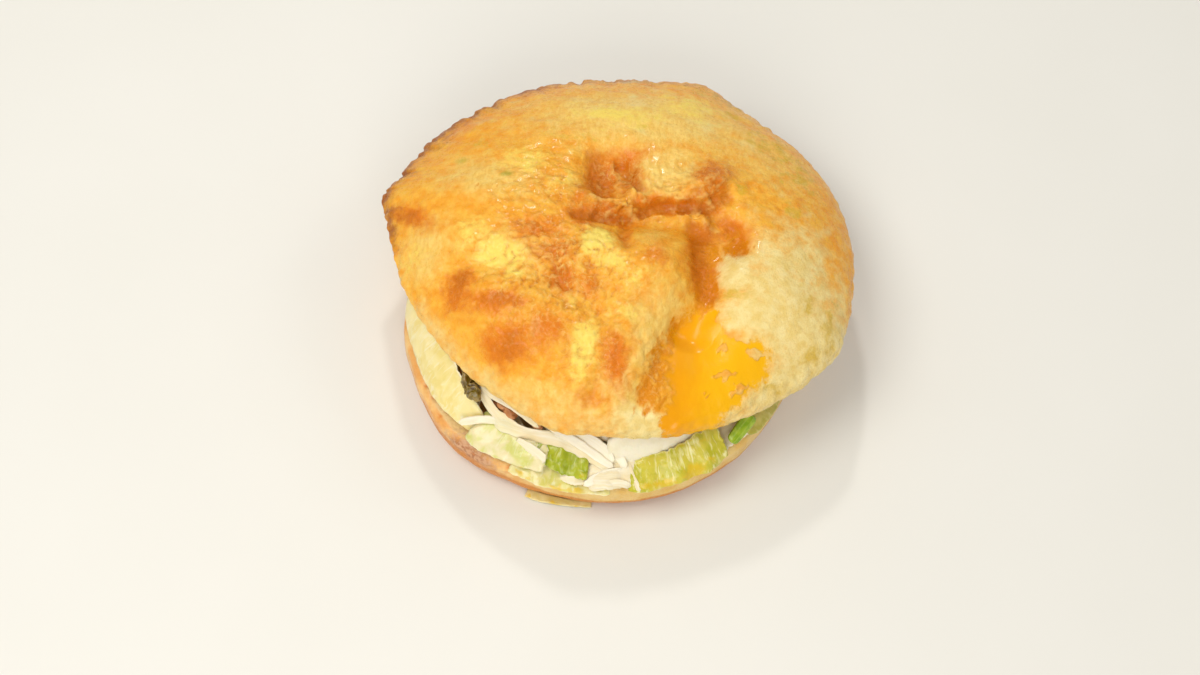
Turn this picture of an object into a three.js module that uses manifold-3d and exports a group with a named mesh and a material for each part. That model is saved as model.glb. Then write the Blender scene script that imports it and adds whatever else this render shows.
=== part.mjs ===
// A burger made with pan-fried dough: a flat round bun, leaves and shredded cabbage, a thin meat patty,
// pickled greens, and a domed top bun with an egg fried onto it. The top sits back and leans, so that the
// filling shows at the front. Millimetres, +Z up. The origin is the middle of the bottom bun's flat base,
// and the open front faces -Y.
import * as THREE from "three";
import { mergeVertices } from "three/addons/utils/BufferGeometryUtils.js";
import Module from "manifold-3d";

const wasm = await Module();
wasm.setup();

const DEG = Math.PI / 180;
const FULL_TURN = 2 * Math.PI;
// Gap between solids that lie against each other, and points round the buns and the egg.
const CLEARANCE = 0.35;
const AROUND = 56;

// Waves of an outline are [lobes, height, direction of a lobe in degrees], and its corners
// [direction, width, reach].
const BUN = {
  radius: 56,
  waves: [[1, 1.2, -30], [2, 0.5, 20], [5, 0.3, 10]],
  corners: [[193, 17, 1.5], [229, 17, 2.2], [272, 24, 0.8]],
  thickness: 12.4,
  footRadius: 46,
  bellyHeight: 5.5,
  topEdge: 2.6,
  dish: 0.5,
};
const LID = {
  centreX: 3.6,
  centreY: 13,
  radius: 62.8,
  waves: [[1, 1.5, -30], [2, 2.8, -3], [3, 0.7, 50], [4, 0.8, -16]],
  corners: [[174, 8, 3.6], [72, 7, 2.4], [333, 10, 2.2], [256, 9, 2.2]],
  rimHeight: 27.5,
  leanX: -0.045,
  leanY: -0.055,
  crown: 19,
  shoulder: 2.6,
};
// The thin lacy brim of the egg is widest at the back left; the front edge is round and thick.
const BRIM = { towards: 140, overhang: 3.5 };
const EGG = {
  crownThickness: 5.5,
  rimThickness: 2.2,
  brimThickness: 1.3,
  drop: 3.4,
  brimDrop: 1.3,
  tuck: 1.2,
};
const DOUGH = { drop: 3.5, tuck: 3, sag: 1.65 };
const PATTY = {
  centreX: -2.4,
  radius: 43.9,
  waves: [[3, 0.7, 40], [7, 0.5, 15], [11, 0.35, 5]],
  corners: [[225, 7, -2.5]],
  bottom: 17.4,
  top: 21.9,
  edge: 2,
};
const SALAD = { radius: 40.5, waves: [[4, 1.1, 20], [9, 0.9, 0]], top: 17 };
// The wad of pickled greens: its middle, half-sizes, and turn in degrees.
const PICKLES = { middle: [-33.7, -34.6, 25], halfSizes: [2.3, 5.2, 2.2], turn: 31 };
// The green onion: the middles of its two ends, and its section.
const ONION = { start: [37.9, -40.8, 16.7], end: [42, -35, 19.8], wide: 4.6, thick: 2.4 };
// The scrap under the bun's front edge, in degrees round the bun and distances from its axis.
const SCRAP = { from: 252.5, to: 272, outer: 58.4, farOuter: 56.6, inner: 54.8, height: 0.6, thick: 0.8 };

// Humps and hollows: place, half-widths, turn in degrees, height. The broad ones shape the dough too.
const BROAD = [
  { x: -24, y: -22, along: 26, across: 16, turn: -35, height: 2.2 },
  { x: 46, y: -4, along: 25, across: 14, turn: 82, height: 2 },
  { x: 25, y: -24, along: 17, across: 11, turn: 85, height: -2.6 },
];
const PUFFS = [
  { x: -24, y: -22, along: 24, across: 14, turn: -35, height: 2.4 },
  { x: 46, y: -4, along: 23, across: 12, turn: 82, height: 1.6 },
  { x: 13, y: -5, along: 11, across: 7, turn: -12, height: 5 },
  { x: 8, y: -27, along: 14, across: 6, turn: 75, height: 2.5 },
  { x: -38, y: 12, along: 18, across: 12, turn: 10, height: 2 },
  { x: 0, y: 46, along: 32, across: 13, turn: 0, height: 2 },
  { x: 25, y: 23, along: 6, across: 4, turn: 35, height: 3.8 },
  { x: 3, y: 17, along: 7, across: 2.5, turn: -15, height: 2.5 },
];
// Folds pressed into the egg, as routes with a half-width and a depth.
const CREASES = [
  {
    route: [[1, 29], [-3, 20], [3, 12], [14, 12], [26, 14], [32, 7], [29, -3], [26, -13], [24, -21]],
    width: 4,
    depth: 4.2,
  },
  { route: [[24, -21], [27, -31], [25, -43]], width: 7, depth: 1.6 },
  { route: [[-34, -8], [-22, -9], [-12, -14], [-2, -20]], width: 3.5, depth: 1.6 },
];

// The leaves, each a thin wavy sheet round part of the rim. Angles are in degrees about the bun's axis.
// The outer edge lies low on the bun and the inner edge is tucked in higher up, each as [near end, far end].
// bend says how late the near end's form turns into the far end's, and ruffle is the height of the waves.
const LEAVES = [
  {
    name: "leaf_left", from: 183, to: 231.6, outer: [55.6, 54], inner: [47.6, 49.6], low: [13.6, 13.8],
    high: [26, 18.4], bend: 3, bulge: 1.2, ruffle: 0.3, waves: 1.5, thick: 1.1, colour: 0xe6d79a,
  },
  {
    name: "leaf_pale_front", from: 233, to: 259.6, outer: [57, 54.8], inner: [46.6, 47], low: [15, 15.4],
    high: [18.9, 18.9], bulge: 1.5, ruffle: 0.4, waves: 1.2, thick: 1.2, colour: 0xd9d296,
  },
  {
    name: "leaf_green_front", from: 260.9, to: 271, outer: [53.6, 54.8], inner: [45.6, 46.6],
    low: [15.7, 15.7], high: [18.8, 18.8], bulge: 0.8, ruffle: 0.4, waves: 1.6, thick: 0.9, colour: 0x9c9f2c,
  },
  {
    name: "leaf_low_front", from: 248, to: 277, outer: [57.8, 57.8], inner: [50.6, 50.6], low: [13.2, 13.2],
    high: [13.7, 13.7], bulge: 0.3, ruffle: 0.2, waves: 2, thick: 0.8, colour: 0xcfc46c,
  },
  {
    name: "cabbage_rib", from: 275.5, to: 306, outer: [51.2, 49], inner: [45.4, 45.4], low: [16, 16],
    high: [24.8, 24.8], bend: 0.5, bulge: 0.3, ruffle: 0.1, waves: 0.6, thick: 1.6, colour: 0xe9dfc4,
  },
  {
    name: "leaf_right", from: 280.5, to: 310.8, outer: [57.6, 57.6], inner: [51, 50.6], low: [13.8, 13.8],
    high: [17.4, 22.4], bulge: 1.3, ruffle: 0.4, waves: 3.4, thick: 0.9, colour: 0xbdb23a,
  },
  {
    name: "leaf_olive_right", from: 320.5, to: 338, outer: [57.4, 57.4], inner: [50, 50], low: [13.4, 13.4],
    high: [17.6, 17.6], bulge: 0.9, ruffle: 0.3, waves: 1, thick: 0.8, colour: 0xa89e45,
  },
  {
    name: "leaf_right_side", from: 345, to: 385, outer: [56.4, 56.4], inner: [46.5, 46.5], low: [13.6, 13.6],
    high: [17, 17], bulge: 1.2, ruffle: 0.6, waves: 2.4, thick: 0.9, colour: 0xc9c75e,
  },
  {
    name: "leaf_back_right", from: 35, to: 72, outer: [55.2, 55.2], inner: [45.8, 45.8], low: [13.6, 13.6],
    high: [16.4, 16.4], bulge: 1, ruffle: 0.6, waves: 2.1, thick: 1, colour: 0xdcd293,
  },
  {
    name: "leaf_back", from: 80, to: 116, outer: [56, 56], inner: [46, 46], low: [13.6, 13.6],
    high: [17, 17], bulge: 1, ruffle: 0.6, waves: 2.6, thick: 0.9, colour: 0xaead3c,
  },
  {
    name: "leaf_back_left", from: 124, to: 170, outer: [55.5, 55.5], inner: [47.4, 47.4], low: [13.7, 13.7],
    high: [18.5, 18.5], bulge: 1.2, ruffle: 0.7, waves: 2.8, thick: 1, colour: 0xd6cd84,
  },
];

// Shreds that show at the open front, as routes from the heap out over the edge.
const FRONT_SHREDS = [
  {
    route: [[-33, -30, 24], [-29.8, -35.6, 23.6], [-24.8, -39.9, 21.4], [-18, -43, 20], [-9, -36, 16]],
    width: 3.3, thick: 1.2,
  },
  {
    route: [
      [-31.4, -32.6, 25.6], [-24.3, -37.6, 25.8], [-17.6, -41.6, 24.6], [-17, -44.4, 21.4], [-14, -36, 17],
    ],
    width: 2.5, thick: 1.1,
  },
  {
    route: [[-16, -42.2, 25], [-9.4, -45.2, 23.4], [-1, -48.4, 21.2], [5, -50, 18.4], [4, -38, 15]],
    width: 2.6, thick: 1.1,
  },
  {
    route: [[-36.2, -42.6, 18.3], [-30.4, -41.6, 19.5], [-23.2, -42.5, 20], [-14, -43, 18.6], [-10, -36, 15]],
    width: 2.5, thick: 1.3,
  },
  {
    route: [[-22, -32, 16], [-22, -43.6, 20], [-14.5, -45.2, 20.2], [-6, -46.8, 20.2], [5, -51.4, 17.6]],
    width: 3.8, thick: 1.3,
  },
  {
    route: [[-10, -36, 16.6], [-8.6, -44.6, 21.4], [-3, -46.4, 22], [2.6, -48.2, 20.6], [5.6, -50.8, 18]],
    width: 4.2, thick: 1.1,
  },
  {
    route: [[1.4, -55.4, 15.4], [5.4, -52.6, 16.3], [8.4, -49.6, 16.4], [7, -38, 14.6]],
    width: 2.4, thick: 1.1,
  },
];
// The shreds round the sides and back: where they start, in degrees, how far they turn, and where they end.
const SIDE_SHREDS = {
  count: 13,
  seed: 11,
  from: 331,
  sweep: 250,
  turn: [7, 16],
  end: [44.5, 50.5],
  width: [2.2, 3.6],
};

const smooth = (t) => {
  const c = Math.min(1, Math.max(0, t));
  return c * c * (3 - 2 * c);
};
const mix = (a, b, t) => a + (b - a) * t;
const ring = (count, at) => Array.from({ length: count }, (_, i) => at(i));

// Distance from the axis to a wavy round outline, in the direction theta.
function outline(theta, { radius, waves, corners = [] }) {
  const wave = ([lobes, height, at]) => height * Math.cos(lobes * (theta - at * DEG));
  const wavy = waves.reduce((r, each) => r + wave(each), radius);
  return corners.reduce((r, [at, width, reach]) => {
    const away = Math.abs(((theta / DEG - at + 540) % 360) - 180);
    return r + reach * Math.exp(-((away / width) ** 2));
  }, wavy);
}
const lidOutline = (theta) => outline(theta, LID);

// How much the layers above the salad lean: up at the front left, down at the back right.
const lean = (x, y) => LID.leanX * (x - LID.centreX) + LID.leanY * (y - LID.centreY);
const brimShare = (theta) => smooth(0.5 + 0.5 * Math.cos(theta - BRIM.towards * DEG));
const rimWave = (theta) => 0.5 * Math.cos(3 * theta + 0.6) + 0.4 * Math.cos(5 * theta + 2);

function humpAt(x, y, { x: cx, y: cy, along, across, turn, height }) {
  const [c, s] = [Math.cos(turn * DEG), Math.sin(turn * DEG)];
  const u = ((x - cx) * c + (y - cy) * s) / along;
  const v = ((y - cy) * c - (x - cx) * s) / across;
  return height * Math.exp(-0.5 * (u * u + v * v));
}

function distanceToRoute(x, y, route) {
  return Math.min(...route.slice(1).map(([bx, by], i) => {
    const [ax, ay] = route[i];
    const [dx, dy] = [bx - ax, by - ay];
    const t = Math.min(1, Math.max(0, ((x - ax) * dx + (y - ay) * dy) / (dx * dx + dy * dy)));
    return Math.hypot(x - ax - t * dx, y - ay - t * dy);
  }));
}

// The broad form that the egg and the dough under it share.
const broadRelief = (x, y) => BROAD.reduce((sum, hump) => sum + humpAt(x, y, hump), 0);

// The egg's own relief on the crown: its puffs, less the deepest of the folds there.
function eggRelief(x, y) {
  const up = PUFFS.reduce((sum, hump) => sum + humpAt(x, y, hump), 0);
  const down = Math.max(...CREASES.map(({ route, width, depth }) => {
    const away = distanceToRoute(x, y, route) / width;
    return depth * Math.exp(-0.5 * away ** 2);
  }));
  return broadRelief(x, y) + up - down;
}

// A closed solid from rings of points. The first and last rings are single points, and the others go round
// anticlockwise seen from the first ring's side.
function loft(rings) {
  const starts = [];
  const points = [];
  for (const r of rings) {
    starts.push(points.length);
    points.push(...r);
  }
  const faces = [];
  for (let k = 0; k + 1 < rings.length; k++) {
    const [na, nb] = [rings[k].length, rings[k + 1].length];
    for (let i = 0; i < Math.max(na, nb); i++) {
      const [a0, a1] = [starts[k] + (i % na), starts[k] + ((i + 1) % na)];
      const [b0, b1] = [starts[k + 1] + (i % nb), starts[k + 1] + ((i + 1) % nb)];
      if (na === 1) faces.push([a0, b0, b1]);
      else if (nb === 1) faces.push([a0, b0, a1]);
      else faces.push(...splitQuad(points, a0, b0, b1, a1));
    }
  }
  return solidGeometry(points, faces);
}

// Two triangles for the quad a, b, c, d, parted along the diagonal that bends it less.
function splitQuad(points, a, b, c, d) {
  const normal = ([i, j, k]) => {
    const [toJ, toK] = [j, k].map((end) => points[end].clone().sub(points[i]));
    return toJ.cross(toK).normalize();
  };
  const flatness = ([first, second]) => normal(first).dot(normal(second));
  const splits = [[[a, b, c], [a, c, d]], [[a, b, d], [b, c, d]]];
  return flatness(splits[0]) >= flatness(splits[1]) ? splits[0] : splits[1];
}

function solidGeometry(points, faces) {
  const geometry = new THREE.BufferGeometry();
  const values = points.flatMap((p) => [p.x, p.y, p.z]);
  geometry.setAttribute("position", new THREE.Float32BufferAttribute(values, 3));
  geometry.setIndex(faces.flat());
  return geometry;
}

// A point at a distance and a height on the ray theta from (cx, cy).
const polar = (cx, cy, theta, distance, z) =>
  new THREE.Vector3(cx + distance * Math.cos(theta), cy + distance * Math.sin(theta), z);

// The bottom bun: flat foot, round belly, soft top edge and a slightly dished cut face.
function bottomBun() {
  const section = [];
  for (const t of [0.3, 0.6, 0.9]) {
    section.push({ inset: mix(BUN.radius, BUN.topEdge, t), z: BUN.thickness - BUN.dish * (1 - t * t) });
  }
  for (const a of [65, 30, 0]) {
    const inset = BUN.topEdge * (1 - Math.cos(a * DEG));
    section.push({ inset, z: BUN.thickness - BUN.topEdge * (1 - Math.sin(a * DEG)) });
  }
  const footInset = BUN.radius - BUN.footRadius;
  for (const a of [0, 25, 50, 70, 90]) {
    const inset = footInset * (1 - Math.cos(a * DEG)) * 0.62;
    section.push({ inset, z: BUN.bellyHeight * (1 - Math.sin(a * DEG)) });
  }
  section.push({ inset: BUN.radius / 2, z: 0 });
  const rings = section.map(({ inset, z }) => ring(AROUND, (i) => {
    const theta = (i / AROUND) * FULL_TURN;
    const onTop = z > BUN.thickness - 1.5;
    const crumb = onTop ? 0.35 * Math.sin(5 * theta + inset * 0.3) * Math.min(1, inset / 8) : 0;
    return polar(0, 0, theta, outline(theta, BUN) * (1 - inset / BUN.radius), z + crumb);
  }));
  const top = new THREE.Vector3(0, 0, BUN.thickness - BUN.dish);
  return loft([[top], ...rings, [new THREE.Vector3(0, 0, 0)]]);
}

// One of the nested domes of the lid. share runs from 0 at the crown to 1 at the rim.
function domePoint(theta, share, radius, crown, relief) {
  const q = Math.sin((share * Math.PI) / 2) ** (2 / LID.shoulder);
  const steepness = mix(1.1, 1.7, brimShare(theta));
  const rise = Math.cos((share * Math.PI) / 2 - 1e-9) ** steepness;
  const p = polar(LID.centreX, LID.centreY, theta, radius * q, LID.rimHeight);
  p.z += lean(p.x, p.y) + crown * rise + rimWave(theta) * q ** 4 + relief(p.x, p.y) * (1 - q ** 8);
  return p;
}

// The edge below a dome's rim: it drops and tucks in as theta's quarter turn psi goes from 0 to 90 degrees.
function skirtPoint(theta, psi, radius, drop, tuck) {
  const p = polar(LID.centreX, LID.centreY, theta, radius - tuck * (1 - Math.cos(psi)), LID.rimHeight);
  p.z += lean(p.x, p.y) + rimWave(theta) - drop * Math.sin(psi);
  return p;
}

const domeRings = (count, radiusAt, crown, relief) => ring(count, (k) =>
  ring(AROUND, (i) => {
    const theta = (i / AROUND) * FULL_TURN;
    return domePoint(theta, (k + 1) / count, radiusAt(theta), crown, relief);
  }));

const skirtRings = (angles, radiusAt, dropAt, tuck) => angles.map((a) =>
  ring(AROUND, (i) => {
    const theta = (i / AROUND) * FULL_TURN;
    return skirtPoint(theta, a * DEG, radiusAt(theta), dropAt(theta), tuck);
  }));

const edgeThickness = (theta) => mix(EGG.rimThickness, EGG.brimThickness, brimShare(theta));
const eggInnerRadius = (theta) => lidOutline(theta) - edgeThickness(theta);
const doughRadius = (theta) => eggInnerRadius(theta) - CLEARANCE - 0.1 - BRIM.overhang * brimShare(theta);
const innerCrown = LID.crown - EGG.crownThickness;

function friedEgg() {
  const drop = (theta) => mix(EGG.drop, EGG.brimDrop, brimShare(theta));
  const outer = domeRings(23, lidOutline, LID.crown, eggRelief);
  const inner = domeRings(10, eggInnerRadius, innerCrown, broadRelief);
  const crownPoint = (crown, relief) => domePoint(0, 0, 1, crown, relief);
  return loft([
    [crownPoint(LID.crown, eggRelief)],
    ...outer,
    ...skirtRings([35, 75], lidOutline, drop, EGG.tuck),
    ...skirtRings([75, 35], (theta) => eggInnerRadius(theta), drop, EGG.tuck),
    ...inner.reverse(),
    [crownPoint(innerCrown, broadRelief)],
  ]);
}

function topBun() {
  const under = [0.92, 0.75, 0.5, 0.25].map((t) => ring(AROUND, (i) => {
    const theta = (i / AROUND) * FULL_TURN;
    const distance = (doughRadius(theta) - DOUGH.tuck) * t;
    const p = polar(LID.centreX, LID.centreY, theta, distance, LID.rimHeight - DOUGH.drop);
    p.z += lean(p.x, p.y) + rimWave(theta) * t ** 4 - DOUGH.sag * smooth(2.6 * (1 - t));
    return p;
  }));
  const bottom = new THREE.Vector3(LID.centreX, LID.centreY, LID.rimHeight - DOUGH.drop - DOUGH.sag);
  const crown = innerCrown - CLEARANCE;
  return loft([
    [domePoint(0, 0, 1, crown, broadRelief)],
    ...domeRings(10, doughRadius, crown, broadRelief),
    ...skirtRings([45, 90], doughRadius, () => DOUGH.drop, DOUGH.tuck),
    ...under,
    [bottom],
  ]);
}

// A slab between two leaning planes with a round edge. grow makes it larger all over, as a tool that leaves
// clearance.
function slab(shape, bottom, top, edge, count, grow = 0) {
  const half = (top - bottom) / 2 + grow;
  const middle = (top + bottom) / 2;
  const section = [[0.55, 1], [0.9, 1], [1, 0.55], [1, -0.55], [0.9, -1], [0.55, -1]];
  const at = (theta, share, side) => {
    const rounded = share > 0.9 ? edge * (1 - Math.sqrt(1 - (side * 0.85) ** 2)) : 0;
    const p = polar(shape.centreX, 0, theta, (outline(theta, shape) + grow - rounded) * share, 0);
    p.z = middle + lean(p.x, p.y) + half * side;
    return p;
  };
  const rings = section.map(([share, side]) => ring(count, (i) => at((i / count) * FULL_TURN, share, side)));
  return loft([[at(0, 0, 1)], ...rings, [at(0, 0, -1)]]);
}

const meatPatty = (grow = 0) => slab(PATTY, PATTY.bottom, PATTY.top, PATTY.edge, 44, grow);

// The middle surface of a leaf: u runs along the rim and v from the outer edge to the inner one. grow widens
// it.
function leafPoint(leaf, u, v, grow = 0) {
  const here = ([near, far]) => mix(near, far, u ** (leaf.bend ?? 1));
  const [outer, inner, low, high] = [leaf.outer, leaf.inner, leaf.low, leaf.high].map(here);
  const uneven = 1 + 0.05 * Math.sin(13 * u + leaf.from);
  const taper = mix(0.5, 1, (1 - Math.abs(2 * u - 1) ** 8) ** 0.5) * uneven;
  const w = 0.5 + (v - 0.5) * (taper + (2.4 * grow) / Math.hypot(outer - inner, high - low));
  const theta = mix(leaf.from * DEG - grow / inner, leaf.to * DEG + grow / inner, u);
  const wave = Math.sin(FULL_TURN * leaf.waves * u + leaf.from);
  const reach = mix(outer, inner, w) + leaf.bulge * Math.sin(Math.PI * w) + 0.4 * wave * (1 - w);
  return polar(0, 0, theta, reach, mix(low, high, w) + leaf.ruffle * wave * mix(0.9, 0.4, w));
}

// A thin sheet about a middle surface, with both faces split into triangles alike.
function sheet(at, countU, countV, thick) {
  const faceSide = { top: [], bottom: [] };
  const step = 0.02;
  for (let i = 0; i <= countU; i++) {
    for (let j = 0; j <= countV; j++) {
      const [u, v] = [i / countU, j / countV];
      const alongU = at(Math.min(1, u + step), v).sub(at(Math.max(0, u - step), v));
      const alongV = at(u, Math.min(1, v + step)).sub(at(u, Math.max(0, v - step)));
      const normal = alongU.cross(alongV).normalize();
      faceSide.top.push(at(u, v).addScaledVector(normal, thick / 2));
      faceSide.bottom.push(at(u, v).addScaledVector(normal, -thick / 2));
    }
  }
  const points = [...faceSide.top, ...faceSide.bottom];
  const below = faceSide.top.length;
  const index = (i, j) => i * (countV + 1) + j;
  const faces = [];
  for (let i = 0; i < countU; i++) {
    for (let j = 0; j < countV; j++) {
      const [a, b, c, d] = [index(i, j), index(i + 1, j), index(i + 1, j + 1), index(i, j + 1)];
      faces.push([a, b, c], [a, c, d], [below + a, below + c, below + b], [below + a, below + d, below + c]);
    }
  }
  const wall = (a, b) => faces.push([a, below + a, below + b], [a, below + b, b]);
  for (let i = 0; i < countU; i++) {
    wall(index(i, 0), index(i + 1, 0));
    wall(index(i + 1, countV), index(i, countV));
  }
  for (let j = 0; j < countV; j++) {
    wall(index(countU, j), index(countU, j + 1));
    wall(index(0, j + 1), index(0, j));
  }
  return solidGeometry(points, faces);
}

function leafSolid(leaf, grow = 0) {
  const countU = Math.round((leaf.to - leaf.from) / 3.4);
  return sheet((u, v) => leafPoint(leaf, u, v, grow), countU, 4, leaf.thick + 2 * grow);
}

// A shred of cabbage: a flat strip along a smooth route that ends in blunt tips. Its flat side faces up and
// outwards.
function shred(route, width, thick) {
  const curve = new THREE.CatmullRomCurve3(route.map((p) => new THREE.Vector3(...p)));
  const steps = 2 * (route.length - 1) + 1;
  const rings = ring(steps + 1, (k) => {
    const t = k / steps;
    const p = curve.getPointAt(t);
    const along = curve.getTangentAt(t);
    const facing = new THREE.Vector3(p.x, p.y, 45).normalize();
    const side = new THREE.Vector3().crossVectors(along, facing).normalize();
    const out = new THREE.Vector3().crossVectors(side, along);
    const taper = mix(0.55, 1, Math.sin(Math.PI * t) ** 0.5);
    return [[1, 1], [-1, 1], [-1, -1], [1, -1]].map(([a, b]) =>
      p.clone().addScaledVector(side, (a * width * taper) / 2).addScaledVector(out, (b * thick) / 2));
  });
  return loft([[curve.getPointAt(0)], ...rings, [curve.getPointAt(1)]]);
}

// A repeatable draw between 0 and 1.
function drawer(seed) {
  let state = seed;
  return () => {
    state = (state * 16807) % 2147483647;
    return state / 2147483647;
  };
}

// Shreds round the sides and back, each running out of the heap, along the rim and down onto the bun.
function sideShreds() {
  const { count, seed, from, sweep } = SIDE_SHREDS;
  const draw = drawer(seed);
  return ring(count, (k) => {
    const start = from + ((k + 0.5 * draw()) * sweep) / count;
    const turn = (draw() < 0.5 ? -1 : 1) * mix(...SIDE_SHREDS.turn, draw());
    const end = mix(...SIDE_SHREDS.end, draw());
    const places = [[0, 33, 13.6], [0.3, 41, 14.6], [0.7, 44.5, 15.2], [1, end, 15.4]];
    const route = places.map(([share, distance, z]) =>
      polar(0, 0, (start + share * turn) * DEG, distance, z).toArray());
    return { route, width: mix(...SIDE_SHREDS.width, draw()), thick: 1.2 };
  });
}

function asManifold(geometry) {
  const bare = geometry.clone();
  bare.deleteAttribute("normal");
  bare.deleteAttribute("uv");
  const merged = mergeVertices(bare, 1e-4);
  return new wasm.Manifold(new wasm.Mesh({
    numProp: 3,
    vertProperties: merged.getAttribute("position").array,
    triVerts: new Uint32Array(merged.index.array),
  }));
}

function asGeometry(manifold) {
  const mesh = manifold.getMesh();
  const geometry = new THREE.BufferGeometry();
  geometry.setAttribute("position", new THREE.BufferAttribute(new Float32Array(mesh.vertProperties), 3));
  geometry.setIndex(new THREE.BufferAttribute(new Uint32Array(mesh.triVerts), 1));
  return geometry;
}

// The heap of shredded cabbage: a core that runs through the burger with the shreds that show fused to it.
// It is cut clear of its neighbours, and scraps that the cut leaves loose are dropped.
function shreddedCabbage(neighbours) {
  const count = 40;
  const floor = BUN.thickness + CLEARANCE;
  const at = (theta, share, high) => {
    const p = polar(0, 0, theta, outline(theta, SALAD) * share, floor);
    if (high) p.z = SALAD.top + lean(p.x, p.y) + 0.3 * Math.sin(7 * theta) * share - 0.4 * share;
    return p;
  };
  const section = [[0.5, 1], [0.93, 1], [1, 0], [0.5, 0]];
  const rings = section.map(([share, high]) => ring(count, (i) => at((i / count) * FULL_TURN, share, high)));
  let heap = asManifold(loft([[at(0, 0, 1)], ...rings, [at(0, 0, 0)]]));
  for (const { route, width, thick } of [...FRONT_SHREDS, ...sideShreds()]) {
    heap = heap.add(asManifold(shred(route, width, thick)));
  }
  for (const geometry of neighbours) heap = heap.subtract(asManifold(geometry));
  const pieces = heap.decompose().sort((a, b) => b.volume() - a.volume());
  return asGeometry(pieces[0]);
}

// A lumpy wad of pickled greens beside the patty.
function pickledGreens(grow = 0) {
  const up = new THREE.Vector3(0, 0, 1);
  const middle = new THREE.Vector3(...PICKLES.middle);
  const size = new THREE.Vector3(...PICKLES.halfSizes).addScalar(1.3 * grow);
  const geometry = new THREE.IcosahedronGeometry(1, 2);
  geometry.deleteAttribute("normal");
  geometry.deleteAttribute("uv");
  const merged = mergeVertices(geometry, 1e-4);
  const position = merged.getAttribute("position");
  for (let i = 0; i < position.count; i++) {
    const p = new THREE.Vector3().fromBufferAttribute(position, i);
    const lump = 1 + 0.12 * Math.sin(5 * p.x + 3 * p.z) + 0.1 * Math.sin(6 * p.y - 4 * p.x);
    p.multiplyScalar(lump).multiply(size).applyAxisAngle(up, PICKLES.turn * DEG).add(middle);
    position.setXYZ(i, p.x, p.y, p.z);
  }
  return merged;
}

// A short piece of green onion leaf, a flattened capsule, lying on the bun's edge at the right of the
// opening.
function greenOnion(grow = 0) {
  const route = new THREE.LineCurve3(new THREE.Vector3(...ONION.start), new THREE.Vector3(...ONION.end));
  const [wide, thick] = [ONION.wide + 2 * grow, ONION.thick + 2 * grow];
  const along = route.getTangent(0);
  const side = new THREE.Vector3().crossVectors(along, new THREE.Vector3(0.7, -0.7, 1)).normalize();
  const out = new THREE.Vector3().crossVectors(side, along);
  const section = [[0.04, 0.55], [0.14, 0.86], [0.32, 1], [0.68, 1], [0.86, 0.86], [0.96, 0.55]];
  const rings = section.map(([t, width]) => ring(10, (i) => {
    const a = (i / 10) * FULL_TURN;
    return route.getPoint(t)
      .addScaledVector(side, (Math.cos(a) * wide * width) / 2)
      .addScaledVector(out, (Math.sin(a) * thick * width) / 2);
  }));
  return loft([[route.getPoint(0)], ...rings, [route.getPoint(1)]]);
}

// A thin scrap of leaf that hangs out under the bun's front edge and lies on the surface.
function leafScrap() {
  const flap = (u, v) => {
    const theta = mix(SCRAP.from, SCRAP.to, u) * DEG;
    const reach = mix(mix(SCRAP.outer, SCRAP.farOuter, u ** 0.6), SCRAP.inner, v);
    const wave = 0.3 * Math.sin(9 * u + 1) ** 2 * (1 - v);
    return polar(0, 0, theta, reach, SCRAP.height + 0.25 * v + wave);
  };
  return sheet(flap, 8, 3, SCRAP.thick);
}

function mesh(name, geometry, colour, roughness) {
  const material = new THREE.MeshStandardMaterial({ color: colour, roughness, metalness: 0 });
  const made = new THREE.Mesh(geometry, material);
  made.name = name;
  return made;
}

const burger = new THREE.Group();
burger.add(mesh("bottom_bun", bottomBun(), 0xe8b46c, 0.6));
burger.add(mesh("top_bun", topBun(), 0xf0d69a, 0.65));
burger.add(mesh("fried_egg", friedEgg(), 0xf2b548, 0.35));
burger.add(mesh("meat_patty", meatPatty(), 0xa86a3c, 0.5));
burger.add(mesh("pickled_greens", pickledGreens(), 0x6f5a22, 0.35));
burger.add(mesh("green_onion", greenOnion(), 0x7c9a10, 0.4));
burger.add(mesh("leaf_scrap", leafScrap(), 0xe0cf92, 0.5));
for (const leaf of LEAVES) burger.add(mesh(leaf.name, leafSolid(leaf), leaf.colour, 0.45));

const heapNeighbours = [
  meatPatty(CLEARANCE),
  pickledGreens(CLEARANCE),
  greenOnion(CLEARANCE),
  ...LEAVES.map((leaf) => leafSolid(leaf, CLEARANCE)),
];
burger.add(mesh("shredded_cabbage", shreddedCabbage(heapNeighbours), 0xf1ece0, 0.4));

export default burger;
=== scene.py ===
"""The looks of a burger made with pan-fried dough, with an egg fried onto its top bun.

Shapes are worked out in millimetres in the frame of the solid model, and meshes are made in metres.
"""
import itertools
import math
from functools import partial
from typing import NamedTuple

import bpy
import numpy as np
from mathutils import Matrix, Vector


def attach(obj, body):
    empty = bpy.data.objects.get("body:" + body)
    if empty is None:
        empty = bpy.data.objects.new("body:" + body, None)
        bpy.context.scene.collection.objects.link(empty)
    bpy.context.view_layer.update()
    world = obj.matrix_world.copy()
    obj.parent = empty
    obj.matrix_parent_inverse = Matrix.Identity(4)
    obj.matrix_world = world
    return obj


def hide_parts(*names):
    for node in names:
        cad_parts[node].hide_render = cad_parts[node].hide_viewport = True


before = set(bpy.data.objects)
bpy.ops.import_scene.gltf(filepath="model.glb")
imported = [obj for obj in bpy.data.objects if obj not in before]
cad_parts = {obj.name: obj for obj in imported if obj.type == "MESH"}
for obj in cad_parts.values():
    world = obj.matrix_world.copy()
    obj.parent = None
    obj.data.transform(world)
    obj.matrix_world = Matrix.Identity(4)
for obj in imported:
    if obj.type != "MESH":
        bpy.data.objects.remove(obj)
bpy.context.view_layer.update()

MM = 0.001
DEG = math.pi / 180
FULL_TURN = 2 * math.pi

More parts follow.
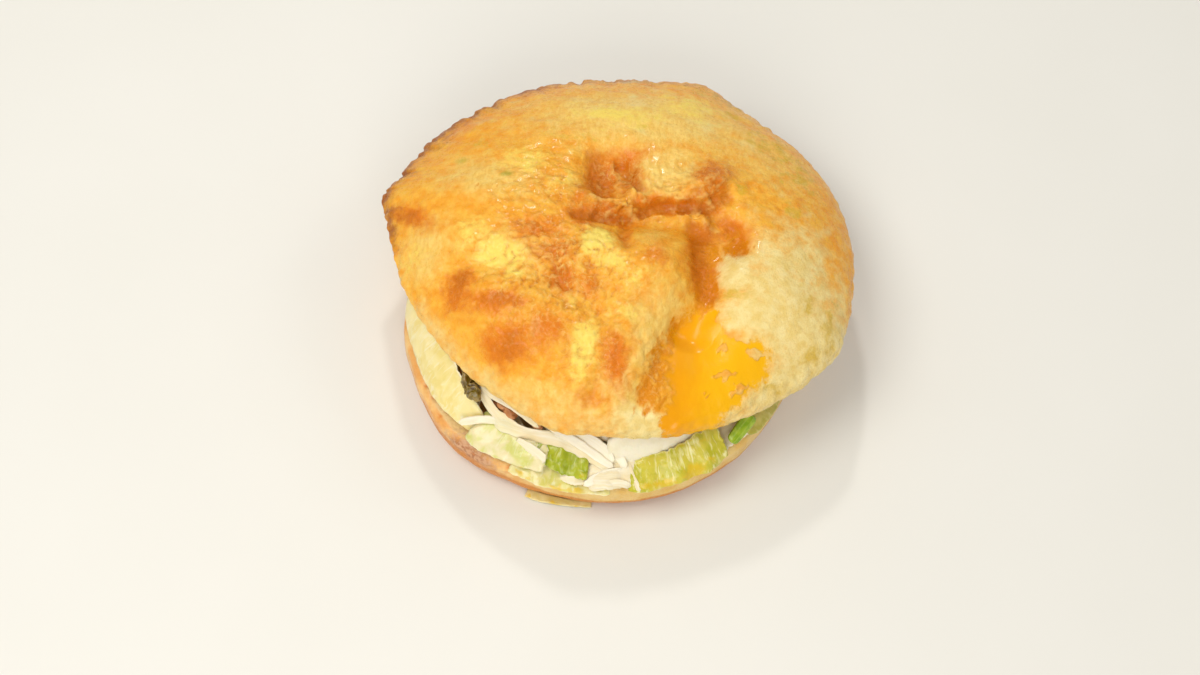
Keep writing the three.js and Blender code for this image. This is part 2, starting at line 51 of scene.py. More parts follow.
# The camera, by how it stands over the burger
CAMERA = {"elevation": 61.5, "roll": 5, "distance": 600, "target": (0, -2.5, 0), "lens": 62.1, "sensor": 36}

# Driving dimensions of the buns, the lid and the patty, as in the solid model.
# Waves of an outline are (lobes, height, direction of a lobe), and its corners (direction, width, reach).
BUN = {"radius": 56, "waves": ((1, 1.2, -30), (2, 0.5, 20), (5, 0.3, 10)),
       "corners": ((193, 17, 1.5), (229, 17, 2.2), (272, 24, 0.8)), "thickness": 12.4, "foot": 46,
       "belly": 5.5, "edge": 2.6, "dish": 0.5, "tuck": 0.62}
LID = {"centre": (3.6, 13), "radius": 62.8,
       "waves": ((1, 1.5, -30), (2, 2.8, -3), (3, 0.7, 50), (4, 0.8, -16)),
       "corners": ((174, 8, 3.6), (72, 7, 2.4), (333, 10, 2.2), (256, 9, 2.2)), "rim": 27.5,
       "lean": (-0.045, -0.055), "crown": 19, "shoulder": 2.6}
BRIM = {"towards": 140, "overhang": 3.5}
# Directions in which the lid's edge is ragged, burnt, toasted and nibbled
EDGE = {"ragged": 128, "burnt": 148, "toasted": 118, "nibbled": 52}
EGG = {"crown": 5.5, "rim": 2.2, "brim": 1.3, "drop": 3.4, "brim_drop": 1.3, "tuck": 1.2}
DOUGH = {"front_drop": 2.2, "drop": 3.5, "tuck": 3, "sag": 1.65}
PATTY = {"centre": (-2.4, 0), "radius": 43.9, "waves": ((3, 0.7, 40), (7, 0.5, 15), (11, 0.35, 5)),
         "corners": ((225, 7, -2.5),), "bottom": 17.4, "top": 21.9}
SALAD = {"centre": (0, 0), "radius": 40.5, "waves": ((4, 1.1, 20), (9, 0.9, 0)), "bottom": 12.8, "top": 17}
CLEARANCE = 0.45
# How far base surfaces lie inside their solids, to leave room for their fine relief
RELIEF_ROOM = {"egg_rim": 0.25, "egg_crown": 0.5, "patty_rim": 0.4, "salad_rim": 1, "salad_top": 0.4}
# Directions in which the bottom bun is buttery and browned, and how high its browned band goes
BAKED = {"buttery": 200, "browned": 268, "band": 6.9}

# Humps and hollows of the lid: x, y, half-length, half-width, turn, height
BROAD = ((-24, -22, 26, 16, -35, 2.2), (46, -4, 25, 14, 82, 2), (25, -24, 17, 11, 85, -2.6))
PUFFS = (
    (-24, -22, 24, 14, -35, 2.4), (46, -4, 23, 12, 82, 1.6), (13, -5, 11, 7, -12, 5),
    (8, -27, 14, 6, 75, 2.5), (-38, 12, 18, 12, 10, 2), (0, 46, 32, 13, 0, 2), (25, 23, 6, 4, 35, 3.8),
    (3, 17, 7, 2.5, -15, 2.5)
)
KNOBS = (
    (-3, 0, 4.6, 4.4, 0, 1.1), (34, -1, 4, 3.8, 0, 0.9), (16, 3, 4.5, 3.5, 30, 0.9),
    (20, 13.2, 2.6, 2, 20, 2.2), (25.8, 14.4, 2.2, 2.2, 0, 2.4), (29, 27, 2.6, 3.4, 20, 1.1),
    (22, 21, 3.4, 1.8, 40, 0.9), (-20, -26, 3.2, 2, 10, 0.5), (36, -33, 3.4, 1.2, -20, 0.35),
    (-31, 29, 5, 3.4, 20, 0.6), (44, -21, 4, 3, 30, 0.5)
)
# Folds pressed into the egg: route, half-width, depth
CREASES = (
    (((1, 29), (-3, 20), (3, 12), (14, 12), (26, 14), (32, 7), (29, -3), (26, -13), (24, -21)), 4, 4.2),
    (((24, -21), (27, -31), (25, -43)), 7, 1.6), (((-34, -8), (-22, -9), (-12, -14), (-2, -20)), 3.5, 1.6)
)
# Fine creases round the folds, only in the looks: route, half-width, depth
FINE_CREASES = (
    (((-9, 9.5), (-2, 10.6), (5, 11.6), (9, 13), (13, 15.6), (20, 15.8), (27, 17.2), (32, 21)), 1.5, 1.9),
    (((-5.5, 30), (-5, 24), (-3, 19)), 2.8, 1.6), (((1.8, 29), (4.4, 24), (8, 20.8)), 1.6, 1.9),
    (((29, 15), (33.5, 11), (36, 5)), 2.2, 1.3), (((22.5, 11), (25, 6), (26, 0), (28, -9)), 2.4, 1.8),
    (((5, 12), (3.2, 6), (5, 0)), 1.4, 1.3), (((-8, 7.6), (-4, 6.8), (1, 6.4)), 1.1, 0.9),
    (((-15, -6), (-13, -11), (-10, -14)), 1, 1), (((20, -20), (16.5, -30), (12, -41)), 2, 0.9),
    (((1.2, -24), (1.6, -34), (-1, -43)), 1.3, 0.7), (((-42, -9), (-42.5, -17)), 3, 0.5)
)
# Small rolled folds of egg skin that lie in the creases: route, half-width, height
ROLLS = (
    (((-6, 16.6), (0, 15.4), (5.5, 13.8)), 1.7, 2.6), (((-0.4, 29), (1.5, 25), (5.4, 21)), 1, 1.2),
    (((6, 18.6), (11, 19.6), (16, 18.6)), 1.7, 1.6), (((19, 13.4), (24, 12.8), (29.5, 11)), 1.5, 2.4),
    (((7, 11.4), (10, 12.8), (14, 13.8)), 0.7, 0.7),
    (((16, 18.2), (22, 18), (27, 19.8), (30, 24)), 0.6, 0.8),
    (((19, 20), (24, 20.8), (27.6, 24)), 0.5, 0.7), (((24.5, 21.5), (26.5, 26), (26, 31)), 0.6, 0.6),
    (((29, 22), (31, 26), (30.5, 31)), 0.7, 0.6), (((31, 7.6), (33, 8.2), (34, 9.4)), 0.6, 0.6),
    (((7.4, -38), (9, -33), (14, -27)), 1.6, 0.5)
)

# Where the lid is tinted: x, y, half-length, half-width, turn, strength
TINT_SPOTS = {
    "pale": (
        (8, 47, 36, 15, 3, 0.9), (13, 28, 12, 10, 0, 0.9), (-50, -2, 9, 11, 0, 0.7),
        (-36, 21, 17, 9, -12, 0.7), (15, -22, 9, 15, -25, 0.75), (9, -41, 9, 5, -20, 0.9),
        (13, 4, 6, 8, 0, 0.4), (-14, -42, 24, 4, -14, 0.6), (40, 42, 22, 14, -30, 0.6),
        (-28, -3, 15, 9, -10, 0.5)),
    "cream": (
        (52, -3, 18, 26, 0, 1.2), (35, -2, 5.6, 7.4, 0, 1.3), (40, -15, 9, 6, 0, 1.1),
        (44, 22, 9, 10, 0, 0.55), (14, -45, 9, 2.6, -8, 0.7), (-16.5, -27, 2.2, 2, 0, 0.9),
        (36, 42, 16, 8, -30, 0.5)),
    "yellow": (
        (-29, -5, 8, 4.6, -15, 1), (-37, 1, 5, 5, 0, 0.7), (-24, -10, 3.4, 2.6, 0, 0.8),
        (-3, 0.6, 4.2, 5, 0, 1.2), (2, -6, 5, 3.4, -35, 0.9), (7, -12, 5, 5, 0, 0.5),
        (-4, -31, 3.6, 8, -8, 1), (6, -21, 6, 5, 0, 0.5), (-53, -3, 4, 5, 0, 0.6),
        (-25, 27, 8, 5, 0, 0.7), (-12, 20, 6, 5, 0, 0.6), (0, 46, 14, 5, 5, 0.7), (20, 54, 9, 8, 0, 0.6),
        (-9, -18, 3, 3, 0, 0.5)),
    "orange": (
        (-39, -15, 5, 6, 0, 1), (-30, -19, 11, 3.6, -8, 1), (-25, -30, 8, 7, 0, 1),
        (-14, -27, 6, 7, 0, 0.9), (-19, 4, 9, 5, 5, 0.9), (-14, -4, 6, 8, 0, 0.8), (-11, -12, 5, 5, 0, 1),
        (-8, 9, 6, 4, 0, 1), (-3, 24, 6, 8, 5, 1), (4, 24, 4, 6, -40, 1), (-9, 16, 5, 6, 0, 0.8),
        (10, 16, 6, 2, 0, 0.9), (21, 16.4, 11, 2, 3, 1), (27, 25, 5.5, 8, -10, 1), (-1, 12, 11, 3, -5, 1),
        (26, 2, 5, 11, 0, 1), (34, 10, 7, 5, -50, 0.9), (13, -4, 5, 4, 0, 0.7), (14, 6, 8, 8, 0, 0.2),
        (-5, -14, 4, 6, 0, 0.7), (5, -34, 4, 8, 10, 1), (-1, -43, 5, 5, 0, 0.6), (4, 5, 2, 5, -20, 0.8),
        (9, -16, 5, 2.5, 0, 0.5), (-54, 10, 8, 3, -40, 0.9), (-28, 60, 16, 5, 20, 0.6),
        (-44, 44, 9, 6, 45, 0.6), (3, 31, 9, 4, 15, 0.9)),
    "brown": (
        (-39, -13, 4.4, 5, 0, 0.8), (-28, -19, 9, 2.2, -8, 0.7), (-24, -31, 5, 5, 0, 0.7),
        (-13, -10, 2.4, 4.4, 30, 0.8), (-22, 4, 3.4, 2.4, 0, 0.6), (-3.4, 22, 3, 7, 0, 1),
        (4, 25, 2, 5, -35, 1), (-4, 10.4, 8, 2, 5, 0.9), (20, 16, 9, 1.1, 3, 1.1), (27, 26, 4, 6, 0, 0.6),
        (25, 6, 2.4, 5, 10, 1.1), (27, -1, 3, 6, 0, 0.7), (33, 11, 3.4, 2, -45, 0.7),
        (4, -34, 2.4, 5, 10, 0.4), (-57, 11, 8, 2.2, -42, 0.8), (8, 13, 3, 1.2, 20, 0.7),
        (27.5, -8, 1.8, 9, -5, 0.8), (27, 9.5, 4, 4, 0, 0.9), (1.5, 30, 5, 2, 10, 0.5)),
    "amber": (
        (20, -21, 2.4, 5, -25, 0.8), (17, -31, 3.6, 8, -22, 0.9), (15, -40, 4, 4, 0, 0.9),
        (28, -9, 2.4, 10, -6, 1), (28, 2, 3, 5, 0, 0.8), (35, 7, 5, 3, -50, 0.9),
        (-8, 4, 2.4, 1.6, 0, 0.5)),
    "olive": (
        (50, 20, 2, 3.4, 0, 0.8), (57, -21, 3.5, 1.6, 35, 0.8), (56, -8, 2, 3, 0, 0.7),
        (47, -31, 5, 1.6, 30, 0.6), (35, -10, 5, 2.4, 0, 0.8), (36, 24, 2, 2, 0, 0.9),
        (34, 17, 2, 3, 0, 0.6), (62, -12, 2, 8, 0, 0.6), (-12, 36, 14, 3, 0, 0.6),
        (-22, 40, 8, 2.4, 0, 0.5), (52, 36, 6, 6, 0, 0.6), (26, 65, 14, 4, 0, 0.6),
        (-38, 34, 9, 3, 0, 0.5), (8, 44, 5, 3, 0, 0.5), (32, 57, 5, 4, 0, 0.5), (45, 44, 10, 5, -35, 0.5)),
    "flake": (
        (-12, -8, 20, 19, 0, 1), (-4, -32, 7, 10, 0, 0.8), (-18, -27, 8, 4, 0, 0.5),
        (-14, 18, 13, 8, 0, 0.9), (-28, -18, 14, 3, 0, 0.4), (6, -11, 10, 8, 0, 0.9),
        (3, 27, 9, 7, 0, 0.8), (26, 24, 7, 8, 0, 0.9), (35, -34, 7, 4, 0, 0.5),
        (16, -32, 5, 12, -20, 0.7), (0, 14, 9, 4, 0, 0.7)),
}
YOLK_SPOTS = (
    (27.5, -31, 8, 15, 3, 1.25), (37.5, -27, 8, 6, 0, 1.15), (28, -19, 4, 5, 0, 1),
    (35.5, -35.5, 7, 4.2, 35, 0.8), (26, -43, 7.5, 4.5, 10, 1.2)
)
FLECK_SPOTS = (
    (34, -31, 4, 0.9, 15, 0.9), (38, -34, 2.6, 0.8, 35, 0.8), (33, -24.5, 2.6, 0.8, 20, 0.8),
    (41, -25, 2.4, 1.4, 0, 0.9), (29.5, -36.5, 1.4, 0.5, 30, 0.7), (37.5, -21, 2.6, 1.4, -20, 0.9)
)
GREEN_SPOTS = ((-43, 27.5, 2.6, 1.8, 0, 0.7), (-29.5, 21, 2.2, 1.3, 10, 0.9), (-36, 26, 2, 1, 0, 0.4))
# How coarse the egg's surface is
ROUGH_SPOTS = (
    (-12, -8, 26, 20, 0, 1), (-2, -30, 14, 12, 0, 0.8), (-16, 18, 20, 12, 0, 0.8),
    (18, 20, 22, 12, 0, 0.7), (34, -35, 9, 6, 0, 0.4), (-32, -22, 12, 9, 0, 0.35),
    (16, -32, 6, 12, -20, 0.7), (4, 14, 14, 6, 0, 1.1), (27, 20, 8, 9, 0, 1), (21, 15.4, 9, 2.4, 3, 1.1),
    (2, 23, 9, 7, 0, 1), (26, 0, 4, 10, 0, 0.6), (-4, -14, 12, 10, 0, 0.5)
)
# Where the bottom bun's side is torn, and where it is scorched: direction, height, then as above
TEAR = (235, 9.8, 7.5, 2.6, 0, 1)
SCORCH = (233, 5.8, 18, 2.2, 0, 1.1)

# Colours as the eye sees them
GOLD = (249, 186, 62)
DEEP_GOLD = (242, 156, 30)
PALE_GOLD = (251, 210, 112)
DULL_GOLD = (242, 192, 88)
ORANGE = (227, 122, 3)
BROWN = (204, 110, 0)
YELLOW = (254, 222, 100)
CREAM = (248, 226, 156)
CREAM_DEEP = (236, 204, 116)
YOLK = (243, 178, 4)
YOLK_DEEP = (237, 157, 0)
AMBER = (224, 140, 0)
OLIVE = (214, 172, 36)
LEAF_GREEN = (150, 156, 40)
SAUCE = (224, 186, 34)
CRUST = (166, 92, 24)
FILM = (254, 214, 120)
DOUGH_PALE = (246, 200, 128)
DOUGH_WARM = (234, 166, 88)
DOUGH_BROWN = (206, 124, 34)
DOUGH_PORE = (222, 128, 40)
CURL_PALE = (255, 234, 156)
CURL_DEEP = (222, 142, 24)

# How much smaller than listed the soft ovals of tints are drawn
SPOT_SIZE = 0.8


def srgb(colour):
    """A colour as the eye sees it, turned into the light that the shader works with."""
    seen = np.array(colour) / 255
    light = np.where(seen <= 0.04045, seen / 12.92, ((seen + 0.055) / 1.055) ** 2.4)
    return (*light.tolist(), 1.0)


def mix(a, b, share):
    return a + (b - a) * share


def smooth(value, low=0.0, high=1.0):
    """0 below low, 1 above high, with a soft step between them."""
    t = np.clip((value - low) / (high - low), 0, 1)
    return t * t * (3 - 2 * t)


def draws(cells, seed):
    """Repeatable values from 0 to 1 for rows of whole numbers."""
    mixed = np.full(cells.shape[0], seed * 7919 + 17, np.uint64)
    for column in cells.T.astype(np.int64).astype(np.uint64):
        mixed = (mixed ^ column) * np.uint64(0x9E3779B97F4A7C15)
        mixed ^= mixed >> np.uint64(31)
        mixed *= np.uint64(0xBF58476D1CE4E5B9)
        mixed ^= mixed >> np.uint64(29)
    return (mixed >> np.uint64(40)).astype(float) / 2 ** 24


def noise(points, cell, seed):
    """Smooth noise, mostly from -1 to 1, with features about a cell wide."""
    scaled = points / cell
    base = np.floor(scaled)
    part = scaled - base
    fade = part ** 3 * (part * (part * 6 - 15) + 10)
    total = np.zeros(len(points))
    for corner in itertools.product((0, 1), repeat=points.shape[1]):
        weight = np.prod(np.where(corner, fade, 1 - fade), axis=1)
        away = part - corner
        for axis in range(points.shape[1]):
            slope = 2 * draws(base + corner, seed + 101 * axis) - 1
            total += weight * slope * away[:, axis]
    return 2 * total


def layered(points, cell, seed, layers=3):
    """Noise with finer noise of half the height on it, layer by layer."""
    total = sum(0.5 ** k * noise(points, cell * 0.5 ** k, seed + k) for k in range(layers))
    return total / (2 - 0.5 ** (layers - 1))


def ridges(points, cell, seed):
    """Crinkles: sharp crests near 1 between rounded hollows near 0."""
    return np.clip(1 - 2.2 * np.abs(noise(points, cell, seed)), 0, 1)


def billows(points, cell, seed):
    """Puffs near 1 with sharp creases near 0 between them."""
    return np.clip(2.6 * np.abs(noise(points, cell, seed)), 0, 1)


def nearest_centre(points, cell, seed):
    """Distance in cells to the nearest of some scattered centres, and that centre's own draw."""
    scaled = points / cell
    base = np.floor(scaled)
    best = np.full(len(points), 9.0)
    own = np.zeros(len(points))
    for step in itertools.product((-1, 0, 1), repeat=points.shape[1]):
        place = base + step
        offsets = [draws(place, seed + 13 * axis) for axis in range(points.shape[1])]
        centre = place + np.stack(offsets, 1)
        away = np.linalg.norm(scaled - centre, axis=1)
        closer = away < best
        best = np.where(closer, away, best)
        own = np.where(closer, draws(place, seed + 71), own)
    return best, own


def stirred(points, amount, cell, seed):
    """The points, moved about by smooth noise."""
    return points + amount * np.stack([noise(points, cell, seed + k) for k in range(3)], 1)


def hump(x, y, spot, size=1.0):
    """A soft oval hump, whose half-length and half-width are size times those listed."""
    cx, cy, along, across, turn, height = spot
    c, s = math.cos(turn * DEG), math.sin(turn * DEG)
    u = ((x - cx) * c + (y - cy) * s) / (along * size)
    v = ((y - cy) * c - (x - cx) * s) / (across * size)
    return height * np.exp(-0.5 * (u * u + v * v))


def humps(x, y, listed):
    """The sum of some soft oval humps."""
    return sum(hump(x, y, spot) for spot in listed)


def spots(x, y, listed):
    """The strongest of some soft ovals at each place."""
    return np.max([hump(x, y, spot, SPOT_SIZE) for spot in listed], axis=0)


def route_distance(x, y, route):
    """Distance from each place to a line of straight stretches."""
    nearest = np.full(np.shape(x), 1e9)
    for (ax, ay), (bx, by) in zip(route, route[1:]):
        dx, dy = bx - ax, by - ay
        t = np.clip(((x - ax) * dx + (y - ay) * dy) / (dx * dx + dy * dy), 0, 1)
        nearest = np.minimum(nearest, np.hypot(x - ax - t * dx, y - ay - t * dy))
    return nearest


def folds(x, y, listed):
    """The strongest of some soft folds at each place, each with its route, half-width and height."""
    return np.max([height * np.exp(-0.5 * (route_distance(x, y, route) / width) ** 2)
                   for route, width, height in listed], axis=0)


def outline(theta, shape):
    """Distance from the axis to a wavy round outline, in the direction theta."""
    reach = shape["radius"] + sum(h * np.cos(lobes * (theta - at * DEG)) for lobes, h, at in shape["waves"])
    for at, width, out in shape.get("corners", ()):
        away = (theta / DEG - at + 540) % 360 - 180
        reach = reach + out * np.exp(-((away / width) ** 2))
    return reach


def place_at(theta, reach, centre=(0, 0)):
    """The places x and y at a distance from an upright axis, in the direction theta."""
    return centre[0] + reach * np.cos(theta), centre[1] + reach * np.sin(theta)


def directions(count):
    """Directions all the way round, evenly spaced."""
    return np.arange(count) / count * FULL_TURN


def lean(x, y):
    """How much the layers above the salad lean."""
    return LID["lean"][0] * (x - LID["centre"][0]) + LID["lean"][1] * (y - LID["centre"][1])


def brim_share(theta):
    return smooth(0.5 + 0.5 * np.cos(theta - BRIM["towards"] * DEG))


def rim_wave(theta):
    return 0.5 * np.cos(3 * theta + 0.6) + 0.4 * np.cos(5 * theta + 2)


class Skin:
    """A surface under construction: points in millimetres, its faces, and named numbers at its points."""

    def __init__(self, points, quads, triangles=()):
        self.points = np.asarray(points, float).reshape(-1, 3)
        self.quads = np.asarray(quads, int).reshape(-1, 4)
        self.triangles = np.asarray(triangles, int).reshape(-1, 3)
        self.fields = {}

    def facets(self):
        return np.concatenate([self.quads[:, [0, 1, 2]], self.quads[:, [0, 2, 3]], self.triangles])

    def face_outwards(self):
        """Turns all the faces round if they point in."""
        a, b, c = (self.points[self.facets()[:, k]] for k in range(3))
        if np.sum(a * np.cross(b, c)) < 0:
            self.quads = self.quads[:, ::-1]
            self.triangles = self.triangles[:, ::-1]
        return self

    def normals(self):
        facets = self.facets()
        a, b, c = (self.points[facets[:, k]] for k in range(3))
        flat = np.cross(b - a, c - a)
        total = np.zeros_like(self.points)
        for k in range(3):
            np.add.at(total, facets[:, k], flat)
        return total / np.maximum(np.linalg.norm(total, axis=1, keepdims=True), 1e-12)

    def swell(self, amount):
        """Moves each point outwards by its own amount."""
        self.points = self.points + self.normals() * np.asarray(amount).reshape(-1, 1)


def joined(skins):
    """Several skins with the same fields as one."""
    starts = np.cumsum([0, *[len(s.points) for s in skins]])
    made = Skin(np.concatenate([s.points for s in skins]),
                np.concatenate([s.quads + k for s, k in zip(skins, starts)]),
                np.concatenate([s.triangles + k for s, k in zip(skins, starts)]))
    for name in skins[0].fields:
        made.fields[name] = np.concatenate([s.fields[name] for s in skins])
    return made


def ring_quads(rows, count):
    """Quads between neighbouring rings, when the rings' points are numbered one after the other."""
    row, place = np.meshgrid(np.arange(rows - 1), np.arange(count), indexing="ij")
    a = row * count + place
    b = row * count + (place + 1) % count
    return np.stack([a, b, b + count, a + count], -1).reshape(-1, 4)


def shell(rings, slit=False):
    """A closed skin from equal rings. Round ends get a middle point, and a slit's two sides are joined."""
    rows, count = rings.shape[:2]
    quads = ring_quads(rows, count)
    ends = ((0, True), ((rows - 1) * count, False))
    if slit:
        half = count // 2
        k = np.arange(half - 1)
        for start, first in ends:
            cap = np.stack([k, count - 1 - k, count - 2 - k, k + 1], -1) + start
            quads = np.concatenate([quads, cap if first else cap[:, ::-1]])
        return Skin(rings.reshape(-1, 3), quads).face_outwards()
    points = np.concatenate([rings.reshape(-1, 3), rings[:1].mean(1), rings[-1:].mean(1)])
    k = np.arange(count)
    after = (k + 1) % count
    fans = []
    for number, (start, first) in enumerate(ends):
        fan = np.stack([np.full(count, rows * count + number), after + start, k + start], -1)
        fans.append(fan if first else fan[:, ::-1])
    return Skin(points, quads, np.concatenate(fans)).face_outwards()


def with_ends(rows_field):
    """A field given ring by ring, with a value for each of the two middle points."""
    return np.concatenate([rows_field.ravel(), [rows_field[0].mean(), rows_field[-1].mean()]])


class Look:
    """A material under construction. Its methods add nodes and return the socket that holds the result."""

    def __init__(self, name, roughness, coat=0.0, coat_roughness=0.15, subsurface=0.0, reach=1.0):
        self.material = bpy.data.materials.new(name)
        self.material.use_nodes = True
        self.tree = self.material.node_tree
        self.shader = self.tree.nodes["Principled BSDF"]
        self.place = self.tree.nodes.new("ShaderNodeTexCoord").outputs["Object"]
        settings = {"Roughness": roughness, "Coat Weight": coat, "Coat Roughness": coat_roughness,
                    "Subsurface Weight": subsurface, "Subsurface Radius": (1.0, 0.7, 0.4),
                    "Subsurface Scale": reach * MM, "Specular IOR Level": 0.2}
        for name, value in settings.items():
            self.shader.inputs[name].default_value = value

    def put(self, socket, value):
        """Links a socket or sets a value, where a tuple is a colour as the eye sees it."""
        if isinstance(value, bpy.types.NodeSocket):
            self.tree.links.new(value, socket)
        elif isinstance(value, tuple):
            socket.default_value = srgb(value)
        else:
            socket.default_value = value

    def node(self, kind, inputs, **settings):
        """The outputs of a new node with these settings and inputs."""
        made = self.tree.nodes.new("ShaderNode" + kind)
        for name, value in settings.items():
            setattr(made, name, value)
        for name, value in inputs.items():
            self.put(made.inputs[name], value)
        return made.outputs

    def math(self, operation, a, b=0.0, c=0.0):
        return self.node("Math", {0: a, 1: b, 2: c}, operation=operation)[0]

    def plus(self, a, b):
        return self.math("ADD", a, b)

    def scaled(self, value, by):
        return self.math("MULTIPLY", value, by)

    def field(self, name):
        return self.node("Attribute", {}, attribute_name=name)["Fac"]

    def stretched(self, sizes):
        """Coordinates in which noise is longer along some axes."""
        return self.node("Mapping", {"Vector": self.place, "Scale": [1 / s for s in sizes]})[0]

    def combined(self, *parts):
        """Coordinates made of three numbers."""
        return self.node("CombineXYZ", dict(enumerate(parts)))[0]

    def east(self):
        """The place along X in millimetres."""
        return self.scaled(self.node("SeparateXYZ", {0: self.place})["X"], 1 / MM)

    def noise(self, cell, detail=3.0, harsh=0.5, twist=0.0, at=None):
        inputs = {"Vector": at or self.place, "Scale": 1 / (cell * MM), "Detail": detail,
                  "Roughness": harsh, "Distortion": twist}
        return self.node("TexNoise", inputs)[0]

    def step(self, value, low, high, to_low=0.0, to_high=1.0):
        inputs = {"Value": value, "From Min": low, "From Max": high, "To Min": to_low, "To Max": to_high}
        return self.node("MapRange", inputs, interpolation_type="SMOOTHSTEP")["Result"]

    def mix(self, share, a, b):
        return self.node("Mix", {0: share, 6: a, 7: b}, data_type="RGBA")[2]

    def frayed(self, name, grain, fray, low, high):
        """A field of the mesh with its edge broken up by a grain."""
        moved = self.math("MULTIPLY_ADD", grain, fray, -0.5 * fray)
        return self.step(self.plus(self.field(name), moved), low, high)

    def stain(self, colour, name, grain, fray, low, high, tint, strength=1.0):
        """The colour, with a tint over it where a field of the mesh is high."""
        share = self.frayed(name, grain, fray, low, high)
        if strength < 1:
            share = self.scaled(share, strength)
        return self.mix(share, colour, tint)

    def finish(self, colour, height=None, depth=0.1, roughness=None):
        """Links the colour, a bump of that depth in millimetres, and a roughness that varies."""
        self.put(self.shader.inputs["Base Color"], colour)
        if height is not None:
            inputs = {"Strength": 1.0, "Distance": depth * MM, "Height": height}
            self.put(self.shader.inputs["Normal"], self.node("Bump", inputs)[0])
        if roughness is not None:
            self.put(self.shader.inputs["Roughness"], roughness)
        return self.material


def new_object(name, data):
    made = bpy.data.objects.new(name, data)
    bpy.context.scene.collection.objects.link(made)
    return made


def add_piece(name, skin, material, node):
    """A skin as an object with the given finish, which stands for that node, whose own part is hidden."""
    mesh = bpy.data.meshes.new(name)
    mesh.from_pydata((skin.points * MM).tolist(), [], skin.quads.tolist() + skin.triangles.tolist())
    for field, values in skin.fields.items():
        stored = mesh.attributes.new(field, "FLOAT", "POINT")
        stored.data.foreach_set("value", np.asarray(values, np.float32))
    mesh.shade_smooth()
    mesh.materials.append(material)
    piece = new_object(name, mesh)
    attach(piece, "root")
    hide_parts(node)


# The lid: the egg, and the dough under it

def dome_height(x, y, theta, share, crown):
    """Height of a smooth dome over the lid's outline, where share is the part of the way out to the rim."""
    rise = np.clip(1 - share ** LID["shoulder"], 0, 1) ** (mix(1.1, 1.7, brim_share(theta)) / 2)
    return LID["rim"] + lean(x, y) + crown * rise + rim_wave(theta) * share ** 4


def broad_relief(x, y):
    return humps(x, y, BROAD)


def egg_relief(x, y):
    """The egg's puffs and knobs, less the deepest of its folds, with the rolls that lie in them."""
    rolls = folds(x, y, ROLLS) * (0.85 + 0.75 * noise(np.stack([x, y], 1), 3.4, 64))
    return broad_relief(x, y) + humps(x, y, PUFFS + KNOBS) - folds(x, y, CREASES) + rolls


def disc_grid(count):
    """A square grid bent into a disc: share of the radius, direction, quads, and the rim's points."""
    line = np.linspace(-1, 1, count + 1)
    a, b = np.meshgrid(line, line, indexing="ij")
    steep = np.abs(b) >= np.abs(a)
    larger = np.where(steep, b, a)
    safe = np.where(larger == 0, 1, larger)
    theta = np.where(steep, 90 * DEG - 45 * DEG * a / safe, 45 * DEG * b / safe)
    theta += np.where(larger < 0, math.pi, 0)
    index = np.arange((count + 1) ** 2).reshape(count + 1, count + 1)
    corners = (index[:-1, :-1], index[1:, :-1], index[1:, 1:], index[:-1, 1:])
    rim = np.concatenate([index[-1, :-1], index[:0:-1, -1], index[0, :0:-1], index[:-1, 0]])
    return np.abs(larger).ravel(), theta.ravel(), np.stack(corners, -1).reshape(-1, 4), rim


def egg_inner_reach(theta):
    return outline(theta, LID) - mix(EGG["rim"], EGG["brim"], brim_share(theta))


def dough_reach(theta):
    return egg_inner_reach(theta) - CLEARANCE - BRIM["overhang"] * brim_share(theta)


def teeth(theta):
    """How far the ragged edge of the thin brim falls short of the outline."""
    along = np.stack([np.cos(theta), np.sin(theta)], 1) * LID["radius"]
    ragged = smooth(np.cos(theta - EDGE["ragged"] * DEG), 0.3, 0.85)
    bites = 1.5 * smooth(noise(along, 4.2, 3), -0.1, 0.7) + 0.9 * smooth(noise(along, 1.9, 4), -0.1, 0.8)
    nibbled = np.exp(-(((theta / DEG % 360 - EDGE["nibbled"]) / 11) ** 2))
    nibbled *= 1.6 + 1.2 * noise(along, 2.2, 6)
    return ragged * bites + 0.35 * (1 - ragged) * smooth(noise(along, 3, 5), 0, 0.9) + nibbled


def lid_points(theta, share, reach, crown, relief):
    """Points on a dome over the lid's outline, with relief that fades at its rim."""
    x, y = place_at(theta, reach * share, LID["centre"])
    z = dome_height(x, y, theta, share, crown) + relief(x, y) * (1 - share ** 8)
    return np.stack([x, y, z], 1)


def skirt_ring(theta, turned, reach, drop, tuck):
    """A ring below a dome's rim, which drops and tucks in as turned goes from 0 to 90 degrees."""
    x, y = place_at(theta, reach - tuck * (1 - math.cos(turned * DEG)), LID["centre"])
    z = LID["rim"] + lean(x, y) + rim_wave(theta) - drop * math.sin(turned * DEG)
    return np.stack([x, y, z], 1)


